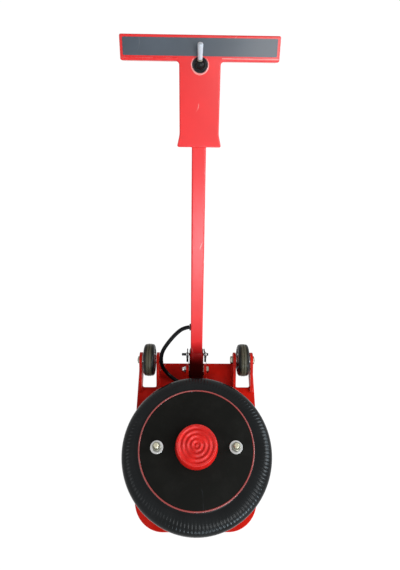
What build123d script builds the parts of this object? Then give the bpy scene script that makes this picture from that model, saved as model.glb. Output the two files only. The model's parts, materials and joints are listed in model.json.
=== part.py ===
from build123d import *
import math
import os

os.makedirs("parts", exist_ok=True)

# An air-bag trolley jack: a steel base plate on the floor carries a two-lobed air bag
# with a round saddle on top, two wheels at its rear edge and a hinged pull handle with
# an air valve in its head. Millimetres. The origin is on the floor under the bag's
# axis; +Y runs to the rear, where the wheels and the handle are, and +Z is up.

# ---------------------------------------------------------------- driving sizes
# base plate
plate_thick = 6.0
plate_rear_y = 210.0
plate_front_y = -145.0
rear_half_width = 136.0
front_half_width = 123.0
taper_start_y = 100.0
front_corner_radius = 60.0
rear_corner_radius = 4.0
plate_edge_chamfer = 0.8

# wheel forks and wheels
ear_thick = 6.0
ear_head_radius = 17.5
ear_nose_y = 140.0
ear_nose_height = 6.0
axle_y = 206.0
axle_z = 39.5
fork_mid_x = 108.75
slot_front_y = 151.5
slot_corner_radius = 5.5
wheel_radius = 37.5
tyre_width = 26.0
tyre_shoulder = 7.0
tread_groove_width = 1.6
tread_groove_depth = 1.3
tread_groove_pitch = 5.6
rim_radius = 26.5
rim_width = 21.0
rim_wall = 3.0
wheel_web = 5.0
hub_radius = 15.5
hub_nose_radius = 11.0
hub_length = 30.0
hub_shoulder_step = 2.0
bush_wall = 2.0
axle_radius = 5.0
axle_washer_radius = 10.0
axle_washer_thick = 1.5
side_gap = 0.25
running_clearance = 0.05
hole_clearance = 0.25
axle_head_flats = 16.0
axle_head_height = 6.4
lock_nut_height = 8.5
lock_nut_step = 0.9
thread_proud = 1.5

# handle hinge and its stop
pivot_y = 187.0
pivot_z = 27.0
handle_lean = 34.3
hinge_ear_thick = 6.0
hinge_head_radius = 13.0
hinge_front_y = 163.0
hinge_rear_y = 205.0
thrust_washer_thick = 1.5
thrust_washer_radius = 9.0
thrust_gap = 0.15
pivot_radius = 4.0
pivot_head_flats = 13.0
pivot_head_height = 5.3
cap_nut_height = 7.5
cap_dome_step = 0.8
stop_half_width = 14.0
stop_gap = 0.3
swing_gap = 1.0

# handle shaft and socket
shaft_size = 26.5
shaft_wall = 2.0
shaft_corner = 3.0
shaft_foot = 10.0
socket_wall = 2.6
socket_fit = 0.1
socket_bottom = -12.0
socket_top = 53.0
socket_bevel = 6.0
socket_bevel_angle = 21.0
pivot_bush_wall = 2.5

# cross rod, its clips and the return springs
rod_radius = 3.0
rod_half_length = 30.4
rod_shift = -3.0
rod_height = 42.5
rod_fit = 0.05
rod_end_chamfer = 0.6
collar_outer_radius = 5.0
collar_width = 5.6
collar_lug_thick = 4.0
collar_lug_drop = 8.4
collar_eye_drop = 6.4
clip_wire = 1.2
clip_fit = 0.15
clip_loop = 3.6
clip_rise = 16.0
clip_end_rise = 0.5
clip_inner_drop = 2.0
spring_radius = 2.4
spring_wire = 0.5
spring_low = 22.0
spring_high = 32.0
hook_hole_height = 10.3
hook_hole_radius = 1.1
hook_rise = 4.2
hook_clearance = 0.3

# handle head
neck_bottom = 503.5
neck_half_width = 35.5
neck_flare = 5.0
neck_flare_height = 22.0
neck_flare_radius = 40.0
bar_bottom = 643.7
bar_height = 39.4
bar_half_length = 134.8
sheet = 2.5
head_corner = 3.0
head_fold = 2.3
neck_weld_radius = 6.0
shaft_overlap = 26.0
back_edge = 1.2
back_screw_radius = 2.0
back_screw_head_radius = 4.0
back_screw_head_height = 2.6
back_screw_length = 6.0

# label panel, bare
label_half_length = 129.5
label_height = 27.0
label_thick = 1.0
label_drop = 4.6
label_corner = 1.5

# valve, lever and air line
valve_drop = 4.9
valve_hole_shift = 1.8
valve_hole_radius = 14.35
valve_seat_gap = 0.2
valve_edge = 2.0
valve_half_width = 17.0
valve_above = 19.0
valve_below = 23.0
valve_depth = 19.0
boot_radius = 12.3
boot_mouth = 8.0
boot_proud = 0.6
boot_round = 1.6
ball_radius = 7.4
ball_clearance = 0.6
lever_rise = 2.0
lever_angle = 55.0
stem_radius = 2.4
stem_length = 16.0
collar_radius = 4.6
collar_low = 7.6
collar_height = 2.6
knob_start = 10.5
knob_length = 27.5
knob_low_radius = 3.1
knob_high_radius = 4.8
knob_seat_gap = 0.1
air_line_radius = 4.0
gland_height = 115.0
gland_block = 13.0
gland_radius = 5.0
gland_flange_radius = 7.5
gland_flange_thick = 3.0

# air inlet plug on the back of the head
plug_hex_flats = 17.0
plug_hex_height = 6.0
plug_body_radius = 6.0
plug_body_length = 7.0
plug_tip_radius = 4.0
plug_tip_length = 14.0
plug_groove_depth = 0.9
plug_groove_width = 3.0
plug_thread = 6.0

# bag stack
pedestal_radius = 90.0
pedestal_wall = 13.0
pedestal_height = 13.0
mount_screw_radius = 4.0
mount_screw_head_radius = 8.0
mount_screw_count = 4
bead_plate_radius = 116.0
bead_plate_thick = 3.0
bag_radius = 152.4
bag_height = 71.2
bag_wall = 6.0
bag_bead_radius = 100.0
bag_seat_gap = 0.3
girdle_wire_radius = 4.0
top_plate_thick = 2.5
top_rim_width = 3.0
top_rim_height = 5.0
pad_thick = 2.0
pad_gap = 0.3
bumper_radius = 42.0
bumper_gap = 1.5
bumper_chamfer = 7.0
inlet_azimuth = 99.0
inlet_block = 30.0
inlet_wall_gap = 0.3
inlet_radius = 4.0
inlet_hex_flats = 11.0
inlet_hex_length = 6.0
inlet_reach = 120.0

# saddle and top studs
saddle_radius = 42.4
saddle_top_radius = 39.6
saddle_foot = 7.0
saddle_height = 24.5
ridge_pitch = 8.95
ridge_count = 4
groove_radius = 2.9
stud_spacing = 157.5
stud_radius = 5.0
stud_head_radius = 11.0
stud_head_thick = 4.0
stud_proud = 11.5
stud_chamfer = 1.2
stud_nut_flats = 16.0
stud_nut_height = 10.0
stud_washer_radius = 13.0
stud_washer_thick = 2.0
saddle_screw_radius = 5.0

# hose
hose_diameter = 9.0
hose_straight = 16.0

# ---------------------------------------------------------------- derived sizes
socket_half = shaft_size / 2 + socket_fit + socket_wall
hinge_ear_in = socket_half + thrust_gap + thrust_washer_thick
fork_gap = hub_length + 2 * (side_gap + axle_washer_thick)
inner_ear_out = fork_mid_x - fork_gap / 2
outer_ear_in = fork_mid_x + fork_gap / 2
bead_z = plate_thick + pedestal_height + bead_plate_thick
top_plate_z = bead_z + bag_height + 2 * bag_seat_gap
rim_top_z = top_plate_z + top_rim_height
pad_z = top_plate_z + top_plate_thick
saddle_z = pad_z + pad_thick
saddle_top_z = saddle_z + saddle_height
girdle_z = (bead_z + top_plate_z) / 2
lobe_radius = (bag_height - bag_seat_gap) / 4
lobe_centre_radius = bag_radius - lobe_radius
lobe_low_z = bead_z + bag_seat_gap + lobe_radius
lobe_high_z = top_plate_z - bag_seat_gap - lobe_radius
head_half_depth = shaft_size / 2 + sheet
bar_top = bar_bottom + bar_height
valve_height = bar_bottom - valve_drop
spring_x = hinge_ear_in + hinge_ear_thick / 2
lever_pivot_y = -head_half_depth - lever_rise
valve_front_y = -shaft_size / 2 + valve_seat_gap
valve_rear_y = valve_front_y + valve_depth

HANDLE = Pos(0, pivot_y, pivot_z) * Rot(-handle_lean, 0, 0)


# ---------------------------------------------------------------- helpers
def tangent_point(start, centre, radius, side):
    """Where the line from start touches a circle, on its left (1) or right (-1)."""
    along, up = centre[0] - start[0], centre[1] - start[1]
    distance = math.hypot(along, up)
    direction = math.atan2(up, along) + side * math.asin(radius / distance)
    reach = math.sqrt(distance**2 - radius**2)
    return start[0] + reach * math.cos(direction), start[1] + reach * math.sin(direction)


def both_sides(shape):
    """The shape and its mirror image across the centre plane."""
    return shape + mirror(shape, about=Plane.YZ)


def spun_about_z(section):
    return revolve(Plane.XZ * section, Axis.Z)


def spun_about_x(section):
    return revolve(Plane.XZ * section, Axis.X)


def block(low, high):
    """A section rectangle between two corners."""
    width, height = high[0] - low[0], high[1] - low[1]
    return Pos((low[0] + high[0]) / 2, (low[1] + high[1]) / 2) * Rectangle(width, height)


def rod_x(radius, x_low, x_high, y=0.0, z=0.0):
    """A round bar along X."""
    return extrude(Plane.YZ.offset(x_low) * (Pos(y, z) * Circle(radius)), x_high - x_low)


def hex_x(flats, x_low, x_high, y=0.0, z=0.0):
    """A hexagon bar along X."""
    section = RegularPolygon(flats / 2, 6, major_radius=False)
    return extrude(Plane.YZ.offset(x_low) * (Pos(y, z) * section), x_high - x_low)


def washer_x(outer, bore, x_low, x_high, y, z):
    return rod_x(outer, x_low, x_high, y, z) - rod_x(bore, x_low, x_high, y, z)


def along_y(section, y_low, y_high):
    """A section drawn in X and Z, extruded from y_low to y_high."""
    return extrude(Plane.XZ.offset(-y_high) * section, y_high - y_low)


def square_tube(size, wall, corner, z_low, z_high):
    outer = RectangleRounded(size, size, corner)
    inner = RectangleRounded(size - 2 * wall, size - 2 * wall, max(corner - wall, wall / 4))
    return Pos(0, 0, z_low) * extrude(outer - inner, z_high - z_low)


# ---------------------------------------------------------------- base
def base_plate():
    outline = Polygon(
        (rear_half_width, plate_rear_y),
        (-rear_half_width, plate_rear_y),
        (-rear_half_width, taper_start_y),
        (-front_half_width, plate_front_y),
        (front_half_width, plate_front_y),
        (rear_half_width, taper_start_y),
        align=None,
    )
    outline = fillet(outline.vertices().sort_by(Axis.Y)[:2], front_corner_radius)
    outline = fillet(outline.vertices().sort_by(Axis.Y)[-2:], rear_corner_radius)
    for side in (-1, 1):
        low_x, high_x = fork_mid_x - fork_gap / 2, fork_mid_x + fork_gap / 2
        slot = block((low_x, slot_front_y), (high_x, plate_rear_y + rear_corner_radius))
        slot = fillet(slot.vertices().sort_by(Axis.Y)[:2], slot_corner_radius)
        outline -= slot if side > 0 else mirror(slot, about=Plane.YZ)
    plate = extrude(outline, plate_thick)
    plate = chamfer(plate.faces().sort_by(Axis.Z)[-1].edges(), plate_edge_chamfer)
    return plate - mount_screws(hole_clearance)


def mount_screws(grow=0.0):
    """Countersunk screws from below, up into the pedestal ring."""
    radius = mount_screw_radius + grow
    head = mount_screw_head_radius + grow
    seat = pedestal_radius - pedestal_wall / 2
    cone_height = head - radius
    length = plate_thick + 0.75 * pedestal_height
    screw = Pos(0, 0, cone_height / 2) * Cone(head, radius, cone_height)
    screw += Pos(0, 0, length / 2) * Cylinder(radius, length)
    places = PolarLocations(seat, mount_screw_count, 45)
    return Part() + [place * screw for place in places]


def ear_plate(head, head_radius, front, rear, nose, bore, x_low, thick):
    """An upright lug: straight foot on the plate, sloping edges up to a round head."""
    front_top = (front, plate_thick + nose)
    rear_foot = (rear, plate_thick)
    outline = Polygon(
        (front, plate_thick),
        rear_foot,
        tangent_point(rear_foot, head, head_radius, -1),
        head,
        tangent_point(front_top, head, head_radius, 1),
        front_top,
        align=None,
    )
    outline += Pos(*head) * Circle(head_radius)
    outline -= Pos(*head) * Circle(bore)
    return extrude(Plane.YZ.offset(x_low) * outline, thick)


def wheel_ear(x_low):
    bore = axle_radius + hole_clearance
    return ear_plate(
        (axle_y, axle_z), ear_head_radius, ear_nose_y, plate_rear_y,
        ear_nose_height, bore, x_low, ear_thick,
    )  # fmt: skip


def hinge_ear():
    bore = pivot_radius + hole_clearance
    ear = ear_plate(
        (pivot_y, pivot_z), hinge_head_radius, hinge_front_y, hinge_rear_y,
        ear_nose_height, bore, hinge_ear_in, hinge_ear_thick,
    )  # fmt: skip
    lean = math.radians(handle_lean)
    hook_y = pivot_y + hook_hole_height * math.sin(lean)
    hook_z = pivot_z + hook_hole_height * math.cos(lean)
    return ear - rod_x(hook_hole_radius, hinge_ear_in, hinge_ear_in + hinge_ear_thick, hook_y, hook_z)


def handle_stop():
    """Welded block behind the hinge; its bevelled top is parallel to the handle."""
    lean = math.radians(handle_lean)
    reach = socket_half + stop_gap
    front_y = pivot_y + socket_half + swing_gap
    corners = [(front_y, plate_thick), (plate_rear_y, plate_thick)]
    for y in (plate_rear_y, front_y):
        up_handle = (y - pivot_y - reach * math.cos(lean)) / math.sin(lean)
        z = pivot_z + up_handle * math.cos(lean) - reach * math.sin(lean)
        corners.append((y, z))
    section = Polygon(*corners, align=None)
    return extrude(Plane.YZ.offset(-stop_half_width) * section, 2 * stop_half_width)


def pivot_bolt():
    face = hinge_ear_in + hinge_ear_thick
    head_end = face + pivot_head_height
    bolt = hex_x(pivot_head_flats, face, head_end, pivot_y, pivot_z)
    end = -face - cap_nut_height + running_clearance
    return bolt + rod_x(pivot_radius, end, face, pivot_y, pivot_z)


def pivot_cap_nut():
    """Acorn nut: a hexagon with a dome over the end of the bolt."""
    bore = pivot_radius + running_clearance
    dome_radius = pivot_head_flats / 2 - cap_dome_step
    hex_end = cap_nut_height - dome_radius / 2
    profile = block((0, bore), (cap_nut_height, dome_radius))
    profile += block((cap_nut_height, 0), (hex_end + dome_radius, dome_radius))
    profile &= Pos(hex_end, 0) * Circle(dome_radius) + block((0, 0), (hex_end, dome_radius))
    collar = hex_x(pivot_head_flats, 0, hex_end) - rod_x(bore, 0, hex_end)
    nut = collar + spun_about_x(profile)
    face = -(hinge_ear_in + hinge_ear_thick)
    return Pos(face, pivot_y, pivot_z) * Rot(0, 0, 180) * nut


def thrust_washers():
    return both_sides(
        washer_x(
            thrust_washer_radius, pivot_radius + hole_clearance,
            hinge_ear_in - thrust_washer_thick, hinge_ear_in, pivot_y, pivot_z,
        )
    )  # fmt: skip


# ---------------------------------------------------------------- axles and wheels
def axle_bolts():
    face = inner_ear_out - ear_thick
    end = outer_ear_in + ear_thick + lock_nut_height + thread_proud
    bolt = hex_x(axle_head_flats, face - axle_head_height, face, axle_y, axle_z)
    return both_sides(bolt + rod_x(axle_radius, face, end, axle_y, axle_z))


def axle_nuts():
    """Lock nuts: a hexagon with a round collar at its outer end."""
    face = outer_ear_in + ear_thick
    collar = lock_nut_height / 3
    end = face + lock_nut_height
    nut = hex_x(axle_head_flats, face, end - collar, axle_y, axle_z)
    nut += rod_x(axle_head_flats / 2 - lock_nut_step, end - collar, end, axle_y, axle_z)
    return both_sides(nut - rod_x(axle_radius + running_clearance, face, end, axle_y, axle_z))


def axle_washers():
    bore = axle_radius + hole_clearance
    near = washer_x(
        axle_washer_radius, bore, inner_ear_out, inner_ear_out + axle_washer_thick,
        axle_y, axle_z,
    )  # fmt: skip
    far = washer_x(
        axle_washer_radius, bore, outer_ear_in - axle_washer_thick, outer_ear_in,
        axle_y, axle_z,
    )  # fmt: skip
    return both_sides(near + far)


def wheel_place(side):
    return Pos(side * fork_mid_x, axle_y, axle_z)


def wheel_tyre():
    half = tyre_width / 2
    section = block((-half, rim_radius), (half, wheel_radius))
    section = fillet(section.vertices().sort_by(Axis.Y)[-2:], tyre_shoulder)
    for step in (-1, 0, 1):
        middle = step * tread_groove_pitch
        section -= block(
            (middle - tread_groove_width / 2, wheel_radius - tread_groove_depth),
            (middle + tread_groove_width / 2, wheel_radius + 1),
        )
    return spun_about_x(section)


def wheel_rim():
    bush_radius = axle_radius + running_clearance + bush_wall
    section = block((-rim_width / 2, rim_radius - rim_wall), (rim_width / 2, rim_radius))
    section += block((-wheel_web / 2, bush_radius), (wheel_web / 2, rim_radius))
    half, shoulder = hub_length / 2, tyre_width / 2 - hub_shoulder_step
    section += Polygon(
        (-half, bush_radius), (half, bush_radius), (half, hub_nose_radius),
        (shoulder, hub_radius), (-shoulder, hub_radius), (-half, hub_nose_radius),
        align=None,
    )  # fmt: skip
    return spun_about_x(section)


def wheel_bush():
    bore = axle_radius + running_clearance
    return spun_about_x(block((-hub_length / 2, bore), (hub_length / 2, bore + bush_wall)))


# ---------------------------------------------------------------- bag stack
def inlet_frame():
    """Radial frame of the air inlet: local +X points out from the bag's axis."""
    return Pos(0, 0, plate_thick + pedestal_height / 2) * Rot(0, 0, inlet_azimuth)


def pedestal_ring():
    ring = spun_about_z(
        block(
            (pedestal_radius - pedestal_wall, plate_thick),
            (pedestal_radius, plate_thick + pedestal_height),
        )
    )
    ring -= inlet_frame() * rod_x(inlet_radius + hole_clearance, 0, pedestal_radius + 1)
    return ring - mount_screws(running_clearance)


def inlet_block_end():
    """How far out the square block goes before its corners meet the round wall."""
    wall = pedestal_radius - pedestal_wall - inlet_wall_gap
    return math.sqrt(wall**2 - (inlet_block / 2) ** 2)


def inlet_fitting():
    """Manifold block inside the pedestal and a spigot out through its wall."""
    block_end = inlet_block_end()
    body = Pos(block_end - inlet_block / 2, 0, 0) * Box(inlet_block, inlet_block, pedestal_height)
    body += rod_x(inlet_radius, block_end, inlet_reach - inlet_hex_length)
    body += hex_x(inlet_hex_flats, inlet_reach - inlet_hex_length, inlet_reach)
    port = Pos(block_end - inlet_block / 2, 0, pedestal_height / 4)
    body -= port * Cylinder(inlet_radius, pedestal_height / 2)
    return inlet_frame() * body


def lower_bead_plate():
    disc = block((0, bead_z - bead_plate_thick), (bead_plate_radius, bead_z))
    disc = fillet(disc.vertices().sort_by(Axis.X)[-2:], bead_plate_thick / 3)
    port_radius = inlet_block_end() - inlet_block / 2
    port = inlet_frame() * Pos(port_radius, 0, 0) * Cylinder(inlet_radius, 4 * pedestal_height)
    return spun_about_z(disc) - port


def inner_bumper():
    """Rubber stop inside the bag that takes the load when it is fully let down."""
    height = top_plate_z - bead_z - bumper_gap
    section = block((0, bead_z), (bumper_radius, bead_z + height))
    section = chamfer(section.vertices().sort_by(Axis.Y)[-1:], bumper_chamfer)
    return spun_about_z(section)


def bag_lobe(centre_z):
    """One hollow lobe of the bag: a half-round bulge with a flat lip above and below."""
    inner = lobe_radius - bag_wall
    middle_radius = (bag_bead_radius + lobe_centre_radius) / 2
    lip = lobe_centre_radius - bag_bead_radius
    section = Pos(lobe_centre_radius, centre_z) * Circle(lobe_radius)
    section += Pos(middle_radius, centre_z) * Rectangle(lip, 2 * lobe_radius)
    section -= Pos(lobe_centre_radius, centre_z) * Circle(inner)
    section -= Pos(middle_radius, centre_z) * Rectangle(lip, 2 * inner)
    section &= block((bag_bead_radius, 0), (bag_radius + 1, top_plate_z))
    return spun_about_z(section)


def girdle_hoop():
    """Steel hoop in the waist between the two lobes."""
    touch = lobe_radius + girdle_wire_radius + bag_seat_gap
    out = math.sqrt(touch**2 - (girdle_z - lobe_low_z) ** 2)
    return spun_about_z(Pos(lobe_centre_radius + out, girdle_z) * Circle(girdle_wire_radius))


def stud_places():
    return [Pos(side * stud_spacing / 2, 0, 0) for side in (-1, 1)]


def upper_bead_plate():
    """Top plate of the bag with the raised crimped rim that shows as a thin ring."""
    section = block((0, top_plate_z), (bead_plate_radius, pad_z))
    rim = block((bead_plate_radius - top_rim_width, top_plate_z), (bead_plate_radius, rim_top_z))
    rim = fillet(rim.vertices().sort_by(Axis.Y)[-2:], 0.4 * top_rim_width)
    plate = spun_about_z(section + rim)
    for place in stud_places():
        plate -= place * Pos(0, 0, top_plate_z) * Cylinder(stud_radius + hole_clearance, 20)
    return plate - Pos(0, 0, top_plate_z) * Cylinder(saddle_screw_radius + hole_clearance, 20)


def top_pad():
    radius = bead_plate_radius - top_rim_width - pad_gap
    pad = spun_about_z(block((0, pad_z), (radius, saddle_z)))
    for place in stud_places():
        pad -= place * Pos(0, 0, pad_z) * Cylinder(stud_radius + hole_clearance, 20)
    return pad - Pos(0, 0, pad_z) * Cylinder(saddle_screw_radius + hole_clearance, 20)


def saddle():
    """Round load pad: a low flange, tapered sides and concentric ridges on top."""
    section = Polygon(
        (0, saddle_z), (saddle_radius, saddle_z), (saddle_radius, saddle_z + saddle_foot),
        (saddle_top_radius, saddle_top_z), (0, saddle_top_z),
        align=None,
    )  # fmt: skip
    for index in range(ridge_count):
        section -= Pos((index + 0.5) * ridge_pitch, saddle_top_z) * Circle(groove_radius)
    socket = Pos(0, 0, saddle_z) * Cylinder(saddle_screw_radius + running_clearance, saddle_height)
    return spun_about_z(section) - socket


def saddle_screw():
    """Screw from inside the bag's top plate up into the saddle."""
    end = saddle_z + saddle_height / 2
    section = block((0, top_plate_z - 1), (stud_head_radius, top_plate_z))
    section += block((0, top_plate_z), (saddle_screw_radius, end))
    return spun_about_z(section)


def top_studs():
    end = saddle_z + stud_washer_thick + stud_nut_height + stud_proud
    section = block((0, top_plate_z - stud_head_thick), (stud_head_radius, top_plate_z))
    section += block((0, top_plate_z), (stud_radius, end))
    section = chamfer(section.vertices().sort_by(Axis.Y)[-1:], stud_chamfer)
    stud = spun_about_z(section)
    return Part() + [place * stud for place in stud_places()]


def stud_washers():
    bore = stud_radius + hole_clearance
    section = block((bore, saddle_z), (stud_washer_radius, saddle_z + stud_washer_thick))
    ring = spun_about_z(section)
    return Part() + [place * ring for place in stud_places()]


def stud_nuts():
    low = saddle_z + stud_washer_thick
    hexagon = RegularPolygon(stud_nut_flats / 2, 6, major_radius=False)
    hexagon -= Circle(stud_radius + running_clearance)
    nut = Pos(0, 0, low) * extrude(hexagon, stud_nut_height)
    return Part() + [place * nut for place in stud_places()]


# ---------------------------------------------------------------- handle
# Handle pieces are drawn upright on the pivot, front towards -Y, and then leaned back.
def handle_socket():
    """Square sleeve round the foot of the shaft, bevelled at its mouth."""
    corner = shaft_corner + socket_wall
    wall = socket_wall + socket_fit / 2
    shoulder = socket_top - socket_bevel
    tube = square_tube(2 * socket_half, wall, corner, socket_bottom, shoulder)
    outer = RectangleRounded(2 * socket_half, 2 * socket_half, corner)
    mouth = Pos(0, 0, shoulder) * extrude(outer, socket_bevel, taper=socket_bevel_angle)
    inner_size = 2 * (socket_half - wall)
    inner = RectangleRounded(inner_size, inner_size, max(corner - wall, wall / 4))
    tube += mouth - Pos(0, 0, shoulder) * extrude(inner, socket_bevel)
    bush = pivot_radius + running_clearance + pivot_bush_wall
    tube -= rod_x(bush, -socket_half, socket_half)
    return tube - rod_x(rod_radius + rod_fit, -socket_half, socket_half, 0, rod_height)


def pivot_bush():
    bore = pivot_radius + running_clearance
    return washer_x(bore + pivot_bush_wall, bore, -socket_half, socket_half, 0, 0)


def handle_shaft():
    top = neck_bottom + shaft_overlap
    tube = square_tube(shaft_size, shaft_wall, shaft_corner, shaft_foot, top)
    tube -= rod_x(rod_radius + rod_fit, -shaft_size, shaft_size, 0, rod_height)
    return tube - rod_x(gland_radius + running_clearance, -shaft_size, 0, 0, gland_height)


def clip_hole(side):
    """Where a clip's inner leg goes down through the collar and the rod."""
    leg = clip_inner_drop + rod_radius + clip_rise
    middle = rod_height - rod_radius - clip_inner_drop + leg / 2
    return Pos(side * spring_x, 0, middle) * Cylinder(clip_wire + clip_fit, leg)


def cross_rod():
    """Rod through the socket and the shaft, a little further out on the left."""
    low, high = rod_shift - rod_half_length, rod_shift + rod_half_length
    rod = rod_x(rod_radius, low, high, 0, rod_height)
    rod = chamfer(rod.edges().filter_by(GeomType.CIRCLE), rod_end_chamfer)
    return rod - clip_hole(-1) - clip_hole(1)


def rod_collars():
    """Plated collars on the rod, each with a lug below it that a spring hooks into."""
    low, high = spring_x - collar_width / 2, spring_x + collar_width / 2
    collar = rod_x(collar_outer_radius, low, high, 0, rod_height)
    foot = rod_height - collar_lug_drop
    collar += Pos(spring_x, 0, rod_height - collar_lug_drop / 2) * Box(
        collar_width, collar_lug_thick, collar_lug_drop
    )
    collar -= rod_x(rod_radius + rod_fit, low, high, 0, rod_height)
    eye = Pos(spring_x, rod_height - collar_eye_drop) * Circle(spring_wire + hook_clearance)
    collar -= along_y(eye, -collar_outer_radius, collar_outer_radius)
    lug_edges = collar.edges().filter_by(Axis.Y).group_by(Axis.Z)[0]
    collar = fillet(lug_edges, (rod_height - collar_eye_drop - foot) / 2)
    return both_sides(collar - clip_hole(1))


def wire_along(points, radius, bends):
    path = FilletPolyline(*points, radius=bends)
    start = Plane(origin=path @ 0, z_dir=path % 0)
    return sweep(start * Circle(radius), path=path)


def rod_clips():
    """Hairpin clips: one leg through the collar and rod, the other sprung round the front."""
    hug = -(collar_outer_radius + clip_wire + clip_fit)
    top = rod_height + clip_rise
    low = rod_height - rod_radius - clip_inner_drop / 2
    points = [
        (spring_x, 0, low),
        (spring_x, 0, top - clip_loop),
        (spring_x, hug / 2, top),
        (spring_x, hug, top - clip_loop),
        (spring_x, hug, rod_height - clip_end_rise),
    ]
    bend = clip_loop / 2
    return both_sides(wire_along(points, clip_wire, [bend, bend, bend]))


def spring_coil():
    bore = spring_radius - 2 * spring_wire
    sleeve = extrude(Circle(spring_radius) - Circle(bore), spring_high - spring_low)
    return Pos(spring_x, 0, spring_low) * sleeve


def return_springs():
    """Side springs from the collars down to the hinge ears, coils as a plain sleeve."""
    coil_middle = spring_radius - spring_wire
    face = collar_lug_thick / 2 + spring_wire + hook_clearance
    eye = rod_height - collar_eye_drop
    upper = [
        (spring_x, -coil_middle, spring_high - spring_wire),
        (spring_x, -face, spring_high + 2 * spring_wire),
        (spring_x, -face, eye),
        (spring_x, face, eye),
        (spring_x, face, rod_height - collar_lug_drop),
    ]
    reach = hinge_ear_thick / 2 + spring_wire + hook_clearance
    lower = [
        (spring_x + coil_middle, 0, spring_low + spring_wire),
        (spring_x + reach, 0, hook_hole_height + hook_rise),
        (spring_x + reach, 0, hook_hole_height),
        (spring_x - reach, 0, hook_hole_height),
        (spring_x - reach, 0, hook_hole_height + hook_rise),
    ]
    tight, wide = 2 * spring_wire, 3 * spring_wire
    spring = spring_coil() + wire_along(upper, spring_wire, [spring_wire, tight, tight])
    spring += wire_along(lower, spring_wire, [tight, wide, wide])
    return both_sides(spring)


# ---------------------------------------------------------------- handle head
def head_outline():
    """Front view of the head: a wide bar on a neck whose foot flares out."""
    flare_top = neck_bottom + neck_flare_height
    right = [
        (neck_half_width + neck_flare, neck_bottom),
        (neck_half_width, flare_top),
        (neck_half_width, bar_bottom),
        (bar_half_length, bar_bottom),
        (bar_half_length, bar_top),
    ]
    left = [(-x, z) for x, z in reversed(right)]
    outline = Polygon(*right, *left, align=None)
    rounds = [
        (neck_half_width, bar_bottom, neck_weld_radius),
        (neck_half_width, flare_top, neck_flare_radius),
        (neck_half_width + neck_flare, neck_bottom, head_corner),
        (bar_half_length, bar_bottom, head_corner),
        (bar_half_length, bar_top, head_corner),
    ]
    for x, z, radius in rounds:
        for side in (-1, 1):
            corner = outline.vertices().sort_by_distance((side * x, z, 0))[0]
            outline = fillet([corner], radius)
    return outline


def head_shell():
    """Folded sheet box, open at the back, with the valve hole in its front."""
    outline = head_outline()
    box = along_y(outline, -head_half_depth, shaft_size / 2)
    box = fillet(box.faces().sort_by(Axis.Y)[0].edges(), head_fold)
    cavity = along_y(offset(outline, -sheet), -shaft_size / 2, shaft_size / 2)
    shell = box - cavity
    hole = Pos(0, valve_height - valve_hole_shift) * Circle(valve_hole_radius)
    shell -= along_y(hole, -head_half_depth, -shaft_size / 2)
    slot = RectangleRounded(shaft_size, shaft_size, shaft_corner)
    return shell - Pos(0, 0, neck_bottom) * extrude(slot, sheet, both=True)


def back_screw_places():
    bar_middle = bar_bottom + bar_height / 2
    spots = [(side * share * bar_half_length, bar_middle) for side in (-1, 1) for share in (0.4, 0.85)]
    neck_edge = neck_half_width - 3 * sheet
    return spots + [(side * neck_edge, neck_bottom + 2 * neck_flare_height) for side in (-1, 1)]


def head_back_plate():
    plate = along_y(head_outline(), shaft_size / 2, head_half_depth)
    plate = chamfer(plate.faces().sort_by(Axis.Y)[-1].edges(), back_edge)
    for x, z in back_screw_places():
        hole = Pos(x, z) * Circle(back_screw_radius + hole_clearance)
        plate -= along_y(hole, shaft_size / 2, head_half_depth)
    port = Pos(0, valve_height) * Circle(plug_body_radius + hole_clearance)
    return plate - along_y(port, shaft_size / 2, head_half_depth)


def back_screws():
    screws = Part()
    for x, z in back_screw_places():
        inner_end = shaft_size / 2 - back_screw_length
        screw = along_y(Pos(x, z) * Circle(back_screw_radius), inner_end, head_half_depth)
        head_end = head_half_depth + back_screw_head_height
        head = along_y(Pos(x, z) * Circle(back_screw_head_radius), head_half_depth, head_end)
        head = fillet(head.faces().sort_by(Axis.Y)[-1].edges(), back_screw_head_height / 2)
        screws += screw + head
    return screws


def label_panel():
    middle = bar_top - label_drop - label_height / 2
    panel = Pos(0, middle) * RectangleRounded(2 * label_half_length, label_height, label_corner)
    return along_y(panel, -head_half_depth - label_thick, -head_half_depth)


def valve_body():
    low, high = valve_height - valve_below, valve_height + valve_above
    section = block((-valve_half_width, low), (valve_half_width, high))
    section = chamfer(section.vertices(), valve_edge)
    body = along_y(section, valve_front_y, valve_rear_y)
    pocket = Pos(0, valve_height) * Circle(ball_radius + ball_clearance)
    depth = lever_pivot_y + ball_radius + ball_clearance
    body -= along_y(pocket, valve_front_y, depth)
    thread = Pos(0, valve_height) * Circle(plug_body_radius + running_clearance)
    return body - along_y(thread, valve_rear_y - plug_thread, valve_rear_y)


def valve_boot():
    """Rubber ring that fills the valve hole round the lever's ball."""
    ring = Pos(0, valve_height) * (Circle(boot_radius) - Circle(boot_mouth))
    front = -head_half_depth - boot_proud
    boot = along_y(ring, front, valve_front_y)
    outer = boot.faces().sort_by(Axis.Y)[0].edges().sort_by(SortBy.LENGTH)[-1:]
    return fillet(outer, boot_round)


def lever_frame():
    """Frame at the lever's pivot, local +Z along the lever."""
    return Pos(0, lever_pivot_y, valve_height) * Rot(90 - lever_angle, 0, 0)


def lever_ball():
    ball = Sphere(ball_radius)
    return lever_frame() * (ball - Cylinder(stem_radius + running_clearance, 4 * ball_radius))


def lever_stem():
    """Steel stem with its round collar, seated in the ball."""
    section = block((0, -ball_radius / 2), (stem_radius, stem_length))
    section += block((0, collar_low), (collar_radius, collar_low + collar_height))
    return lever_frame() * spun_about_z(section)


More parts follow.
